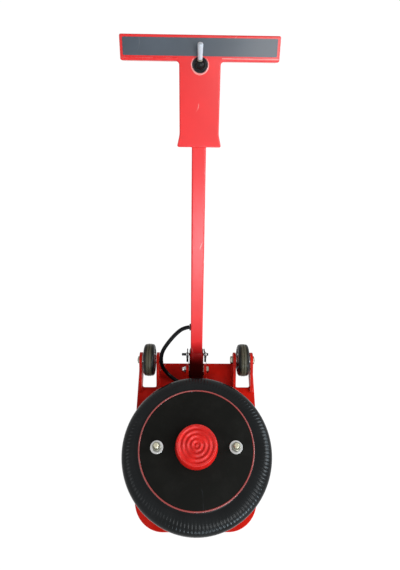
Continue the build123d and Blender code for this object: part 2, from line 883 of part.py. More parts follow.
def lever_knob():
    end = knob_start + knob_length
    crown = end - knob_high_radius
    section = Polygon(
        (0, knob_start), (knob_low_radius, knob_start),
        (knob_high_radius, crown), (0, crown),
        align=None,
    )  # fmt: skip
    section += Pos(0, crown) * Circle(knob_high_radius) & block((0, crown), (knob_high_radius, end))
    bore = block((0, knob_start), (stem_radius + running_clearance, stem_length + knob_seat_gap))
    return lever_frame() * spun_about_z(section - bore)


def air_inlet_plug():
    """Male quick-coupling plug screwed through the back plate into the valve."""
    thread_end = valve_rear_y - plug_thread
    hex_end = head_half_depth + plug_hex_height
    body_end = hex_end + plug_body_length
    tip_end = body_end + plug_tip_length
    groove = plug_tip_radius - plug_groove_depth
    section = block((0, thread_end), (plug_body_radius, body_end))
    section += block((0, body_end), (groove, tip_end))
    section += block((0, body_end + plug_groove_width), (plug_tip_radius, tip_end))
    plug = spun_about_z(section)
    hexagon = RegularPolygon(plug_hex_flats / 2, 6, major_radius=False)
    plug += Pos(0, 0, head_half_depth) * extrude(hexagon, plug_hex_height)
    bore = Pos(0, 0, tip_end) * Cylinder(plug_tip_radius / 2, 2 * plug_tip_length)
    return Pos(0, 0, valve_height) * Rot(-90, 0, 0) * (plug - bore)


def air_line():
    """Rigid air line from the valve down inside the shaft to the hose gland."""
    low = gland_height + gland_block / 2
    high = valve_height - valve_below
    return Pos(0, 0, low) * extrude(Circle(air_line_radius), high - low)


def hose_gland():
    """Elbow inside the shaft whose spigot comes out through the left wall."""
    wall = -shaft_size / 2
    body = Pos(0, 0, gland_height) * Box(gland_block, gland_block, gland_block)
    body += rod_x(gland_radius, wall, 0, 0, gland_height)
    return body + rod_x(gland_flange_radius, wall - gland_flange_thick, wall, 0, gland_height)


# ---------------------------------------------------------------- hose
# Hand-chosen route from the gland on the shaft, out to the left, down past the inner
# wheel ear and in under the bag to the inlet spigot.
HOSE_BENDS = [
    (-48.0, 243.0, 114.5),
    (-65.0, 227.5, 100.5),
    (-76.5, 212.0, 83.0),
    (-80.5, 200.5, 62.5),
    (-79.0, 191.5, 42.0),
    (-71.5, 182.0, 24.5),
    (-57.0, 171.5, 14.5),
    (-39.5, 161.0, 12.5),
    (-27.5, 149.0, 12.5),
]


def hose():
    """A plain tube that leaves the gland square and meets the inlet spigot square."""
    gland = HANDLE * Pos(-shaft_size / 2 - gland_flange_thick, 0, gland_height)
    leaving = gland * Pos(-hose_straight, 0, 0)
    arriving = inlet_frame() * Pos(inlet_reach + hose_straight, 0, 0)
    spigot = inlet_frame() * Pos(inlet_reach, 0, 0)
    points = [gland.position, leaving.position]
    points += [Vector(*point) for point in HOSE_BENDS]
    points += [arriving.position, spigot.position]
    runs = [b - a for a, b in zip(points, points[1:])]
    radii = []
    for before, after in zip(runs, runs[1:]):
        turn = math.radians(before.get_angle(after))
        radii.append(0.45 * min(before.length, after.length) / math.tan(turn / 2))
    path = FilletPolyline(*points, radius=radii)
    start = Plane(origin=path @ 0, z_dir=path % 0)
    tube = sweep(start * Circle(hose_diameter / 2), path=path)
    swept = math.pi * (hose_diameter / 2) ** 2 * path.length
    print("hose points", [tuple(round(c, 2) for c in point) for point in points])
    print("hose runs", [round(run.length, 1) for run in runs])
    print("hose radii", [round(radius) for radius in radii])
    print("hose length", round(path.length, 1), "volume ratio", round(tube.volume / swept, 4))
    return tube


# ---------------------------------------------------------------- nodes
def build():
    nodes = {"base_plate": base_plate()}
    outer_ear, inner_ear = wheel_ear(outer_ear_in), wheel_ear(inner_ear_out - ear_thick)
    nodes["wheel_ear_outer_right"] = outer_ear
    nodes["wheel_ear_outer_left"] = mirror(outer_ear, about=Plane.YZ)
    nodes["wheel_ear_inner_right"] = inner_ear
    nodes["wheel_ear_inner_left"] = mirror(inner_ear, about=Plane.YZ)
    nodes["hinge_ear_right"] = hinge_ear()
    nodes["hinge_ear_left"] = mirror(hinge_ear(), about=Plane.YZ)
    nodes["handle_stop"] = handle_stop()
    nodes["pivot_bolt"] = pivot_bolt()
    nodes["pivot_cap_nut"] = pivot_cap_nut()
    nodes["thrust_washers"] = thrust_washers()
    nodes["axle_bolts"] = axle_bolts()
    nodes["axle_nuts"] = axle_nuts()
    nodes["axle_washers"] = axle_washers()
    for side, word in ((-1, "left"), (1, "right")):
        nodes["wheel_tyre_" + word] = wheel_place(side) * wheel_tyre()
        nodes["wheel_rim_" + word] = wheel_place(side) * wheel_rim()
        nodes["wheel_bush_" + word] = wheel_place(side) * wheel_bush()
    nodes["pedestal_ring"] = pedestal_ring()
    nodes["mount_screws"] = mount_screws()
    nodes["inlet_fitting"] = inlet_fitting()
    nodes["lower_bead_plate"] = lower_bead_plate()
    nodes["inner_bumper"] = inner_bumper()
    nodes["bag_lower_lobe"] = bag_lobe(lobe_low_z)
    nodes["bag_upper_lobe"] = bag_lobe(lobe_high_z)
    nodes["girdle_hoop"] = girdle_hoop()
    nodes["upper_bead_plate"] = upper_bead_plate()
    nodes["top_pad"] = top_pad()
    nodes["saddle"] = saddle()
    nodes["saddle_screw"] = saddle_screw()
    nodes["top_studs"] = top_studs()
    nodes["stud_washers"] = stud_washers()
    nodes["stud_nuts"] = stud_nuts()
    handle = {
        "handle_socket": handle_socket(),
        "pivot_bush": pivot_bush(),
        "handle_shaft": handle_shaft(),
        "cross_rod": cross_rod(),
        "rod_collars": rod_collars(),
        "rod_clips": rod_clips(),
        "return_springs": return_springs(),
        "head_shell": head_shell(),
        "head_back_plate": head_back_plate(),
        "back_screws": back_screws(),
        "label_panel": label_panel(),
        "valve_body": valve_body(),
        "valve_boot": valve_boot(),
        "lever_ball": lever_ball(),
        "lever_stem": lever_stem(),
        "lever_knob": lever_knob(),
        "air_inlet_plug": air_inlet_plug(),
        "air_line": air_line(),
        "hose_gland": hose_gland(),
    }
    for name, shape in handle.items():
        nodes[name] = HANDLE * shape
    nodes["hose"] = hose()
    return nodes


for node, shape in build().items():
    export_step(shape, f"parts/{node}.step")
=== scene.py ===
# %% [markdown]
# # An air-bag trolley jack
# The jack is a steel plate with two wheels, an air bag with a round saddle on top, and a
# hinged T-shaped handle that carries the air lever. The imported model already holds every
# rigid piece at its true size. This lesson dresses it: it gives each surface its finish
# and remakes the soft, turned and coiled pieces with the fine shapes that show up close.

# %% Load the frame
import json
import random
from math import cos, pi, radians, sin, tan, tau

import bpy
from mathutils import Matrix, Vector


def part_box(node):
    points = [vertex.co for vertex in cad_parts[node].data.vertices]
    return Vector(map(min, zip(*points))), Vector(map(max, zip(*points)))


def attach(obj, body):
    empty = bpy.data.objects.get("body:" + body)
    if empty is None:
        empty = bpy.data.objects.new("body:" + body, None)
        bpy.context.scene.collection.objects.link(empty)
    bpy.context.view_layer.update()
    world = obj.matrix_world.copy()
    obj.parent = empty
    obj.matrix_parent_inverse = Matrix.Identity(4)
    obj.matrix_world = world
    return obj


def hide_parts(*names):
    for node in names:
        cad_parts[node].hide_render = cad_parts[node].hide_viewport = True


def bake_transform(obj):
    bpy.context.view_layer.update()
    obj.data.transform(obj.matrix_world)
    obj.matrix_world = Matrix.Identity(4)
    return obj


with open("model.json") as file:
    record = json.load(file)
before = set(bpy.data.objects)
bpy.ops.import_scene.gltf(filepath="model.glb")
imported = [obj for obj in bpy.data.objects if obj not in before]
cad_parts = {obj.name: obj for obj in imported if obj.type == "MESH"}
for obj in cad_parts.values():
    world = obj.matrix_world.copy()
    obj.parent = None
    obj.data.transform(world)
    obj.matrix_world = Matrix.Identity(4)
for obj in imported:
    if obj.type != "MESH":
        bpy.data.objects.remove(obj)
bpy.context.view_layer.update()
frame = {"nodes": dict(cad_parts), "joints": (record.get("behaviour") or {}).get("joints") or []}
scene = bpy.context.scene
scene.view_settings.view_transform = "Standard"


def add_object(name, data):
    """A new object that is part of the scene."""
    new = bpy.data.objects.new(name, data)
    scene.collection.objects.link(new)
    return new



# %% [markdown]
# The handle leans back from its pivot, so whatever belongs to it is drawn upright and
# then laid over by one matrix. Heights in the stack on the plate come from the boxes of
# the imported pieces, which keeps every new mesh on its seat.

# %% The handle's frame and the heights of the stack
def rotation(angle, axis):
    return Matrix.Rotation(angle, 4, axis)


def heights(name):
    """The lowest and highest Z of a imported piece."""
    return [corner.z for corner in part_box(name)]


HANDLE_LEAN = radians(34.3)
joint_at = {row["name"]: Vector(row["pos_m"]) for row in frame["joints"] if row.get("pos_m")}
PIVOT = joint_at["handle_tilt"]
HANDLE = Matrix.Translation(PIVOT) @ rotation(-HANDLE_LEAN, "X")
PLATE_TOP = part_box("base_plate")[1].z
LID_LOW, LID_TOP = heights("upper_bead_plate")
PAD_LOW, PAD_TOP = heights("top_pad")
SADDLE_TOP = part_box("saddle")[1].z
print("pivot", PIVOT, "lid", LID_LOW, LID_TOP, "saddle top", SADDLE_TOP)

# %% [markdown]
# ## Camera
# The jack is seen from above its front, with the camera almost over the front edge of
# the plate. The pose is written as a place and three turns: how far it looks down, how
# far it turns to the side, and a small tilt about its own line of sight. Each number
# then changes one thing only.

# %% Camera
CAMERA_PLACE = Vector((-0.0100, -0.1656, 1.0100))
LOOK_DOWN = radians(59.30)
TURN_SIDE = radians(1.917)
TILT = radians(2.05)
LENS = 27.59


def add_camera():
    level = cos(LOOK_DOWN)
    forward = Vector((sin(TURN_SIDE) * level, cos(TURN_SIDE) * level, -sin(LOOK_DOWN)))
    right = Vector((cos(TURN_SIDE), -sin(TURN_SIDE), 0))
    up = right.cross(forward)
    tilted_right = right * cos(TILT) + up * sin(TILT)
    tilted_up = up * cos(TILT) - right * sin(TILT)
    data = bpy.data.cameras.new("camera")
    data.sensor_width = 36
    data.lens = LENS
    camera = add_object("camera", data)
    turn = Matrix((tilted_right, tilted_up, -forward)).transposed()
    camera.matrix_world = Matrix.Translation(CAMERA_PLACE) @ turn.to_4x4()
    scene.camera = camera
    return camera


camera = add_camera()
print("camera at", tuple(camera.location))

# %% [markdown]
# ## Shared shader effects
# Paint, rubber and metal age in the same few ways: a fine grain, soft patches, bright
# worn edges, thin scratches and dust that settles on what faces up. Each is a node group
# with named inputs, so that one effect serves every material at its own strength.


# %% Node helpers
def fill(tree, node, inputs):
    """Fills a node's inputs, by name or number: a socket is linked, a plain value set."""
    for key, value in inputs.items():
        if isinstance(value, bpy.types.NodeSocket):
            tree.links.new(value, node.inputs[key])
        else:
            node.inputs[key].default_value = value


def add_node(tree, kind, inputs=None, **settings):
    """A new node with its options set and its inputs filled."""
    node = tree.nodes.new(kind)
    for key, value in settings.items():
        setattr(node, key, value)
    fill(tree, node, inputs or {})
    return node


def new_group(name, inputs, build):
    """A node group with number inputs; build turns them into the group's one mask."""
    group = bpy.data.node_groups.new(name, "ShaderNodeTree")
    for label, value in inputs.items():
        socket = group.interface.new_socket(label, in_out="INPUT", socket_type="NodeSocketFloat")
        socket.default_value = value
    group.interface.new_socket("Mask", in_out="OUTPUT", socket_type="NodeSocketFloat")
    given = add_node(group, "NodeGroupInput").outputs
    add_node(group, "NodeGroupOutput", {"Mask": build(group, given)})
    return group


def ramp(tree, source, low, high, to_low=0.0, to_high=1.0):
    """A clamped range from low..high to to_low..to_high; returns the output socket."""
    ends = {"From Min": low, "From Max": high, "To Min": to_low, "To Max": to_high}
    inputs = {"Value": source, **ends}
    return add_node(tree, "ShaderNodeMapRange", inputs, clamp=True).outputs["Result"]


def maths(tree, operation, first, second=0.0):
    """One math node; first and second are sockets or plain numbers."""
    return add_node(tree, "ShaderNodeMath", {0: first, 1: second}, operation=operation).outputs[0]


def vector_maths(tree, operation, first, second):
    return add_node(tree, "ShaderNodeVectorMath", {0: first, 1: second}, operation=operation)


def product(tree, first, *others):
    """Everything multiplied together."""
    for other in others:
        first = maths(tree, "MULTIPLY", first, other)
    return first


def object_place(tree):
    """Object coordinates, which here are metres in the jack's own frame."""
    return add_node(tree, "ShaderNodeTexCoord").outputs["Object"]


def axis_of(tree, vector, axis):
    """One of a vector's three parts."""
    return add_node(tree, "ShaderNodeSeparateXYZ", {0: vector}).outputs[axis]


def noise_at(tree, **inputs):
    """Noise, read at object coordinates unless a Vector is given."""
    if "Vector" not in inputs:
        inputs["Vector"] = object_place(tree)
    return add_node(tree, "ShaderNodeTexNoise", inputs).outputs["Fac"]


# %% [markdown]
# Grain is small noise for powder coat, rubber and cast surfaces. Patches are wide soft
# noise that shifts colour and gloss, so that no surface is one flat tone. An image could
# do both, but noise has no seams and needs no unwrapping.


# %% Grain and patches
def noise_group(name, **settings):
    def build(group, given):
        return noise_at(group, Scale=given["Scale"], **settings)

    return new_group(name, {"Scale": 100.0}, build)


GRAIN = noise_group("grain", Detail=3.0, Roughness=0.6)
PATCHES = noise_group("patches", Detail=5.0, Roughness=0.55)

# %% [markdown]
# Edge wear compares the true surface direction with one rounded by the Bevel node. They
# differ only near edges, so their difference is an edge mask, which noise then breaks up.


# %% Edge wear
def edge_wear(group, given):
    bevel = add_node(group, "ShaderNodeBevel", {"Radius": given["Width"]}, samples=6)
    surface = add_node(group, "ShaderNodeNewGeometry")
    dot = vector_maths(group, "DOT_PRODUCT", bevel.outputs["Normal"], surface.outputs["Normal"])
    near_edge = ramp(group, dot.outputs["Value"], 0.99, 0.85)
    broken = ramp(group, noise_at(group, Scale=160.0, Detail=4.0), 0.42, 0.62)
    return product(group, near_edge, broken, given["Amount"])


EDGE_WEAR = new_group("edge wear", {"Width": 0.001, "Amount": 0.5}, edge_wear)

# %% [markdown]
# Scratches are the thin places where a stretched, bent noise crosses one value, kept in
# a few patches only. Dust lies on surfaces that face up, broken up by noise. The painted
# shade darkens the handle towards its foot, where the bag shadows it, and a band is the worn
# middle of a tyre.
# Those two are read from places in metres, so they stay put on the jack.


# %% Scratches, dust, painted shade and bands
def scratches(group, given):
    turn = {"Vector": object_place(group), "Axis": (0.3, 0.8, 0.5), "Angle": given["Turn"]}
    turned_place = add_node(group, "ShaderNodeVectorRotate", turn, rotation_type="AXIS_ANGLE")
    stretched = vector_maths(group, "MULTIPLY", turned_place.outputs[0], (1.0, 0.12, 1.0))
    inputs = {"Vector": stretched.outputs[0], "Scale": given["Scale"]}
    bent = noise_at(group, Detail=1.0, Distortion=0.4, **inputs)
    offset = maths(group, "ABSOLUTE", maths(group, "SUBTRACT", bent, 0.5))
    line = maths(group, "LESS_THAN", offset, given["Width"])
    some = ramp(group, noise_at(group, Scale=30.0, Detail=2.0), 0.56, 0.66)
    return product(group, line, some)


def dust(group, given):
    surface = add_node(group, "ShaderNodeNewGeometry")
    facing_up = ramp(group, axis_of(group, surface.outputs["Normal"], "Z"), 0.2, 0.95)
    patchy = ramp(group, noise_at(group, Scale=25.0, Detail=7.0, Roughness=0.65), 0.45, 0.75)
    return product(group, facing_up, patchy, given["Amount"])


# Painted shade: the handle gets darker towards its foot, where the bag shadows it.
def painted_shade(group, given):
    """None above Start, all of it at Full; its upper limit wavers a little."""
    noise = noise_at(group, Scale=45.0, Detail=4.0)
    uneven = product(group, maths(group, "SUBTRACT", noise, 0.5), 0.012)
    height = maths(group, "ADD", axis_of(group, object_place(group), "Z"), uneven)
    depth = maths(group, "SUBTRACT", given["Start"], height)
    span = maths(group, "SUBTRACT", given["Start"], given["Full"])
    share = ramp(group, maths(group, "DIVIDE", depth, span), 0, 1)
    unshaded = maths(group, "POWER", maths(group, "SUBTRACT", 1.0, share), 2.0)
    return product(group, maths(group, "SUBTRACT", 1.0, unshaded), given["Amount"])


def band(group, given):
    """1 within Half of Middle across, on either side of the jack."""
    across = maths(group, "ABSOLUTE", axis_of(group, object_place(group), "X"))
    offset = maths(group, "ABSOLUTE", maths(group, "SUBTRACT", across, given["Middle"]))
    return ramp(group, maths(group, "DIVIDE", offset, given["Half"]), 0.8, 1.15, 1.0, 0.0)


SCRATCHES = new_group("scratches", {"Scale": 20.0, "Width": 0.01, "Turn": 0.5}, scratches)
BAND = new_group("band", {"Middle": 0.1, "Half": 0.008}, band)
DUST = new_group("dust", {"Amount": 0.3}, dust)
PAINTED_SHADE = new_group("painted_shade", {"Start": 0.08, "Full": 0.04, "Amount": 1.0}, painted_shade)
print("node groups", [group.name for group in bpy.data.node_groups])

# %% [markdown]
# ## Materials
# Every finish is one function call: a base colour, a second tone for the patches, what
# shows through at worn edges, and how rough and grainy it is. Two finishes then differ
# only in their numbers, and those can be compared line by line.


# %% Building a material
MIX_FIRST, MIX_SECOND, MIX_RESULT = 6, 7, 2  # the colour sockets of a Mix node
DUST_COLOUR = (0.42, 0.40, 0.37)
# The near-black red of the painted shade at the handle's foot.
PAINTED_SHADE_COLOUR = (0.020, 0.0010, 0.0008)


def use_group(tree, group, **inputs):
    return add_node(tree, "ShaderNodeGroup", inputs, node_tree=group).outputs[0]


def mix_colour(tree, mask, first, second):
    """First colour where the mask is 0, second where it is 1; first may be a socket."""
    first = (*first, 1) if isinstance(first, tuple) else first
    inputs = {0: mask, MIX_FIRST: first, MIX_SECOND: (*second, 1)}
    return add_node(tree, "ShaderNodeMix", inputs, data_type="RGBA").outputs[MIX_RESULT]


def bare_mask(tree, edge, edge_width, scratch, scratch_turn):
    """Where the layer under a finish shows through, at edges and in scratches."""
    masks = []
    if edge > 0:
        masks.append(use_group(tree, EDGE_WEAR, Width=edge_width, Amount=edge))
    if scratch:
        scale, width, strength = scratch
        lines = use_group(tree, SCRATCHES, Scale=scale, Width=width, Turn=scratch_turn)
        masks.append(product(tree, lines, strength))
    if len(masks) == 2:
        return maths(tree, "MAXIMUM", *masks)
    return masks[0] if masks else None


def new_material(name):
    """A material, its node tree and its main shader."""
    material = bpy.data.materials.new(name)
    material.use_nodes = True
    return material, material.node_tree, material.node_tree.nodes["Principled BSDF"]


def finish(
    name, colour, tone, rough, patch_scale, grain_scale, grain_height=0.00005,
    worn=None, edge=0.0, edge_width=0.0012, scratch=None, scratch_turn=0.5, dust=0.0, metal=0.0,
    coat=0.0, coat_rough=0.12, specular=0.5, tint=(1.0, 1.0, 1.0), painted_shade=None, band=None,
):
    """One finish. colour and tone are the two tones of its patches; worn is the colour
    under it, seen at edges and in scratches; rough is its smoothest and roughest; scratch
    is a scale, a width and a strength; the painted shade, which darkens the colour and
    takes away the coat low down, is the height where it starts, the height where it is
    full, and its strength; band is the middle and half width across of a paler band, and
    its colour."""
    material, tree, shader = new_material(name)
    patches = use_group(tree, PATCHES, Scale=patch_scale)
    shade = mix_colour(tree, ramp(tree, patches, 0.35, 0.65), colour, tone)
    bare = bare_mask(tree, edge, edge_width, scratch, scratch_turn)
    if bare is not None:
        shade = mix_colour(tree, bare, shade, worn)
    # Painted shade: darker towards the bottom, with the coat's gloss taken away there.
    if painted_shade:
        shade_mask = use_group(tree, PAINTED_SHADE, Start=painted_shade[0], Full=painted_shade[1], Amount=painted_shade[2])
        shade = mix_colour(tree, shade_mask, shade, PAINTED_SHADE_COLOUR)
        clear = maths(tree, "POWER", maths(tree, "SUBTRACT", 1.0, shade_mask), 2.0)
        coat = product(tree, clear, coat)
    if band:
        tread = use_group(tree, BAND, Middle=band[0], Half=band[1])
        shade = mix_colour(tree, tread, shade, band[2])
    if dust > 0:
        shade = mix_colour(tree, use_group(tree, DUST, Amount=dust), shade, DUST_COLOUR)
    height = use_group(tree, GRAIN, Scale=grain_scale)
    bump = {"Strength": 0.6, "Distance": grain_height, "Height": height}
    fill(tree, shader, {
        "Base Color": shade, "Roughness": ramp(tree, patches, 0.3, 0.7, *rough), "Metallic": metal,
        "Specular IOR Level": specular, "Specular Tint": (*tint, 1), "Coat Weight": coat,
        "Coat Roughness": coat_rough, "Normal": add_node(tree, "ShaderNodeBump", bump).outputs[0],
    })
    return material


# %% [markdown]
# The red of the handle is a gloss powder coat: a clear film over an even colour, chipped
# to a pale primer at the edges, and darkened towards its foot by painted shade that also
# takes away its gloss. The plate's red has no film, the saddle's lies on rough cast iron,
# and the bag's rim is a darker red. The lip of the head's hole is a paler red, a painted
# highlight on its rolled edge.

# %% Red paints
PRIMER = (0.75, 0.42, 0.38)
red_handle = finish(
    "red_handle", (0.76, 0.010, 0.011), (0.70, 0.008, 0.009), (0.34, 0.46), 14, 1400,
    worn=PRIMER, edge=0.65, edge_width=0.0016, scratch=(9.0, 0.0022, 0.55),
    # painted shade: darker from 104 mm above the floor, full at 54 mm, with no coat there
    coat=1.0, coat_rough=0.28, specular=0.03, painted_shade=(0.104, 0.054, 0.99),
)
red_plate = finish(
    "red_plate", (0.63, 0.010, 0.003), (0.50, 0.007, 0.002), (0.34, 0.50), 16, 1200,
    worn=PRIMER, edge=0.6, scratch=(12.0, 0.003, 0.5), scratch_turn=1.1, dust=0.03, specular=0.08,
)
red_saddle = finish(
    "red_saddle", (0.70, 0.012, 0.008), (0.52, 0.008, 0.005), (0.30, 0.46), 40, 700, 0.00012,
    worn=(0.70, 0.25, 0.22), edge=0.5, dust=0.03, specular=0.3,
)
red_rim = finish(
    "red_rim", (0.30, 0.030, 0.025), (0.24, 0.024, 0.020), (0.30, 0.45), 30, 900,
    worn=(0.50, 0.25, 0.24), edge=0.2, coat=0.5,
)
# Painted highlight: this pale red stands for light on the rolled lip of the head's hole and on the
# right half of the fold.
lip_painted_highlight = finish(
    "lip_painted_highlight", (0.88, 0.30, 0.28), (0.82, 0.22, 0.20), (0.25, 0.35), 60, 900,
    coat=1.0, coat_rough=0.2,
)

# %% [markdown]
# Washers and screws are bright zinc, studs a yellower one, nuts and bolt heads a duller
# one. Wire parts are blackened steel. Bushes are oiled bronze, and air fittings are
# nickel plated.

# %% Metals
zinc = finish(
    "zinc", (0.60, 0.60, 0.60), (0.46, 0.46, 0.45), (0.22, 0.42), 60, 1500, 0.00003,
    worn=(0.32, 0.28, 0.24), edge=0.3, scratch=(40.0, 0.01, 0.25), metal=1.0,
)
stud_zinc = finish(
    "stud_zinc", (0.56, 0.53, 0.40), (0.44, 0.42, 0.31), (0.30, 0.46), 90, 1500, 0.00003,
    worn=(0.30, 0.26, 0.18), edge=0.25, metal=1.0,
)
nut_zinc = finish(
    "nut_zinc", (0.26, 0.26, 0.215), (0.16, 0.16, 0.13), (0.28, 0.44), 80, 1500, 0.00003,
    worn=(0.16, 0.15, 0.12), edge=0.45, metal=1.0,
)
black_steel = finish(
    "black_steel", (0.010, 0.010, 0.011), (0.022, 0.021, 0.020), (0.30, 0.50), 60, 1200,
    worn=(0.22, 0.21, 0.20), edge=0.3, metal=0.3, specular=0.25,
)
plain_steel = finish(
    "plain_steel", (0.42, 0.42, 0.43), (0.33, 0.33, 0.34), (0.35, 0.55), 20, 900,
    worn=(0.60, 0.60, 0.60), edge=0.3, metal=1.0,
)
cast_rim = finish(
    "cast_rim", (0.58, 0.58, 0.59), (0.48, 0.48, 0.48), (0.35, 0.55), 50, 800, 0.0001,
    worn=(0.75, 0.75, 0.75), edge=0.3, metal=1.0,
)
bronze = finish(
    "bronze", (0.60, 0.42, 0.20), (0.45, 0.30, 0.14), (0.30, 0.50), 60, 900, 0.00006,
    worn=(0.75, 0.58, 0.35), edge=0.3, metal=1.0,
)
nickel = finish(
    "nickel", (0.70, 0.68, 0.63), (0.60, 0.58, 0.53), (0.16, 0.30), 40, 1500, 0.00002,
    worn=(0.62, 0.50, 0.30), edge=0.3, metal=1.0,
)
dark_alloy = finish(
    "dark_alloy", (0.10, 0.10, 0.105), (0.07, 0.07, 0.075), (0.35, 0.50), 40, 1200, 0.00004,
    worn=(0.50, 0.50, 0.50), edge=0.4, metal=1.0,
)

# %% [markdown]
# Black pieces differ by their sheen: the bag has a low, slightly blue one, the pad under
# the saddle is dusty sheet rubber, the tyres have a tan band where they roll, and the
# hose is the smoothest. The long panel on the handle is a bare dark plate with a soft
# gloss.

# %% Rubbers and plastics
bag_rubber = finish(
    "bag_rubber", (0.0035, 0.0038, 0.0040), (0.0055, 0.0060, 0.0064), (0.18, 0.27), 16, 1600,
    0.00003, dust=0.008, specular=0.155, tint=(0.93, 0.98, 1.0),
)
pad_rubber = finish(
    "pad_rubber", (0.0030, 0.0030, 0.0022), (0.0050, 0.0048, 0.0038), (0.60, 0.78), 22, 1300,
    0.00008, worn=(0.030, 0.032, 0.036), scratch=(14.0, 0.0022, 0.4), dust=0.010, specular=0.08,
)
tyre_rubber = finish(
    "tyre_rubber", (0.004, 0.004, 0.004), (0.007, 0.007, 0.0065), (0.26, 0.38), 60, 1300, 0.00005,
    dust=0.02, specular=0.14, band=(0.10875, 0.0066, (0.075, 0.068, 0.046)),
)
boot_rubber = finish(
    "boot_rubber", (0.0025, 0.0025, 0.003), (0.004, 0.004, 0.005), (0.25, 0.40), 90, 1500,
    specular=0.16,
)
hose_rubber = finish(
    "hose_rubber", (0.0018, 0.0018, 0.0022), (0.003, 0.003, 0.0036), (0.16, 0.26), 50, 1800,
    specular=0.08,
)
line_plastic = finish(
    "line_plastic", (0.020, 0.020, 0.022), (0.030, 0.030, 0.030), (0.35, 0.50), 60, 1500,
)
pale_knob = finish(
    "pale_knob", (0.50, 0.52, 0.55), (0.42, 0.44, 0.48), (0.22, 0.34), 120, 1800, 0.00002,
    coat=0.3,
)
dark_panel = finish(
    "dark_panel", (0.034, 0.046, 0.062), (0.044, 0.058, 0.076), (0.32, 0.42), 10, 1800, 0.00002,
    worn=(0.25, 0.25, 0.26), edge=0.35, scratch=(10.0, 0.002, 0.35), coat=0.15,
)

CARRIED_OVER = {
    red_plate: [
        "base_plate", "wheel_ear_outer_left", "wheel_ear_outer_right", "wheel_ear_inner_left",
        "wheel_ear_inner_right", "hinge_ear_left", "hinge_ear_right", "handle_stop",
    ],
    red_handle: ["handle_socket", "handle_shaft", "head_shell", "head_back_plate"],
    dark_panel: ["label_panel"],
    dark_alloy: ["valve_body"],
    plain_steel: ["pedestal_ring", "lower_bead_plate"],
    black_steel: ["cross_rod", "hose_gland"],
    pad_rubber: ["inner_bumper"],
    line_plastic: ["air_line"],
    nickel: ["inlet_fitting"],
    bronze: ["pivot_bush", "wheel_bush_left", "wheel_bush_right"],
    cast_rim: ["wheel_rim_left", "wheel_rim_right"],
    zinc: ["mount_screws", "saddle_screw", "axle_washers", "back_screws", "rod_collars"],
    nut_zinc: ["thrust_washers"],
}


def dress(obj, material):
    """Gives an object one material."""
    obj.data.materials.clear()
    obj.data.materials.append(material)


for material, names in CARRIED_OVER.items():
    for name in names:
        dress(frame["nodes"][name], material)
print("materials", len(bpy.data.materials))

# %% [markdown]
# ## Making meshes from rings
# A turned part, a hexagon, a screw thread, a tyre and a length of hose are all rows of
# rings with the same number of points. One function joins such rings with four-sided
# faces, and the others only decide where the points go.


# %% Rings to a piece
def ring_piece(name, rings, material, body=None, place=Matrix(), loop=False, sharp=35):
    """Joins rings of points into a closed mesh. loop joins the last ring to the first;
    otherwise both ends get a flat cap. place takes it to the jack's own frame."""
    count = len(rings[0])
    points = [place @ Vector(point) for ring in rings for point in ring]
    faces = []
    pairs = [(row, row + 1) for row in range(len(rings) - 1)]
    if loop:
        pairs.append((len(rings) - 1, 0))
    for low, high in pairs:
        for i in range(count):
            j = (i + 1) % count
            faces.append((low * count + i, low * count + j, high * count + j, high * count + i))
    if not loop:
        faces.append(tuple(reversed(range(count))))
        faces.append(tuple(range(len(points) - count, len(points))))
    mesh = bpy.data.meshes.new(name)
    mesh.from_pydata(points, [], faces)
    mesh.shade_smooth()
    mesh.set_sharp_from_angle(angle=radians(sharp))
    piece = add_object(name, mesh)
    dress(piece, material)
    if body:
        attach(piece, body)
    return piece


def soften(outline, closed=False, steps=4):
    """Rounds an outline's corners; each point is (across, up, rounding)."""
    points = []
    for i, (across, up, rounding) in enumerate(outline):
        if rounding == 0 or (not closed and i in (0, len(outline) - 1)):
            points.append((across, up))
            continue
        here = Vector((across, up))
        before = Vector(outline[i - 1][:2]) - here
        after = Vector(outline[(i + 1) % len(outline)][:2]) - here
        start = here + before.normalized() * rounding
        end = here + after.normalized() * rounding
        for step in range(steps + 1):
            t = step / steps
            points.append(tuple(start * (1 - t) ** 2 + here * 2 * t * (1 - t) + end * t**2))
    return points


def spin(outline, segments=96):
    """Rings of a turned part: each outline point (radius, height) goes round local Z."""
    turns = [tau * i / segments for i in range(segments)]
    return [[(r * cos(a), r * sin(a), z) for a in turns] for r, z in outline]


CENTRE = 0.0002  # solid turned parts stop just short of their axis


def turned(name, outline, material, body, place=Matrix(), segments=96, loop=True):
    """A turned piece; each outline point is (radius, height, rounding). A piece with a
    bore is a loop, and a solid one isn't."""
    return ring_piece(name, spin(soften(outline), segments), material, body, place, loop)


# %% [markdown]
# ## The air hose
# The hose is black rubber, 9 mm thick. It leaves a fitting on the left of the shaft,
# arches out and falls beside the wheel fork, then turns in under the bag. It is one
# smooth line drawn through listed points. The tube is a mesh round points read from that
# line, and not a curve object.

# %% Hose
HOSE_DIAMETER = 0.009
HOSE_POINTS = [
    (-0.01625, 0.25181, 0.1220), (-0.0300, 0.2500, 0.1212), (-0.0465, 0.2395, 0.1130),
    (-0.0640, 0.2240, 0.0990), (-0.0775, 0.2095, 0.0825), (-0.0812, 0.1990, 0.0625),
    (-0.0795, 0.1900, 0.0420), (-0.0715, 0.1820, 0.0245), (-0.0570, 0.1715, 0.0145),
    (-0.0395, 0.1610, 0.0125), (-0.0275, 0.1490, 0.0125), (-0.02128, 0.13433, 0.0125),
    (-0.01877, 0.11852, 0.0125),
]


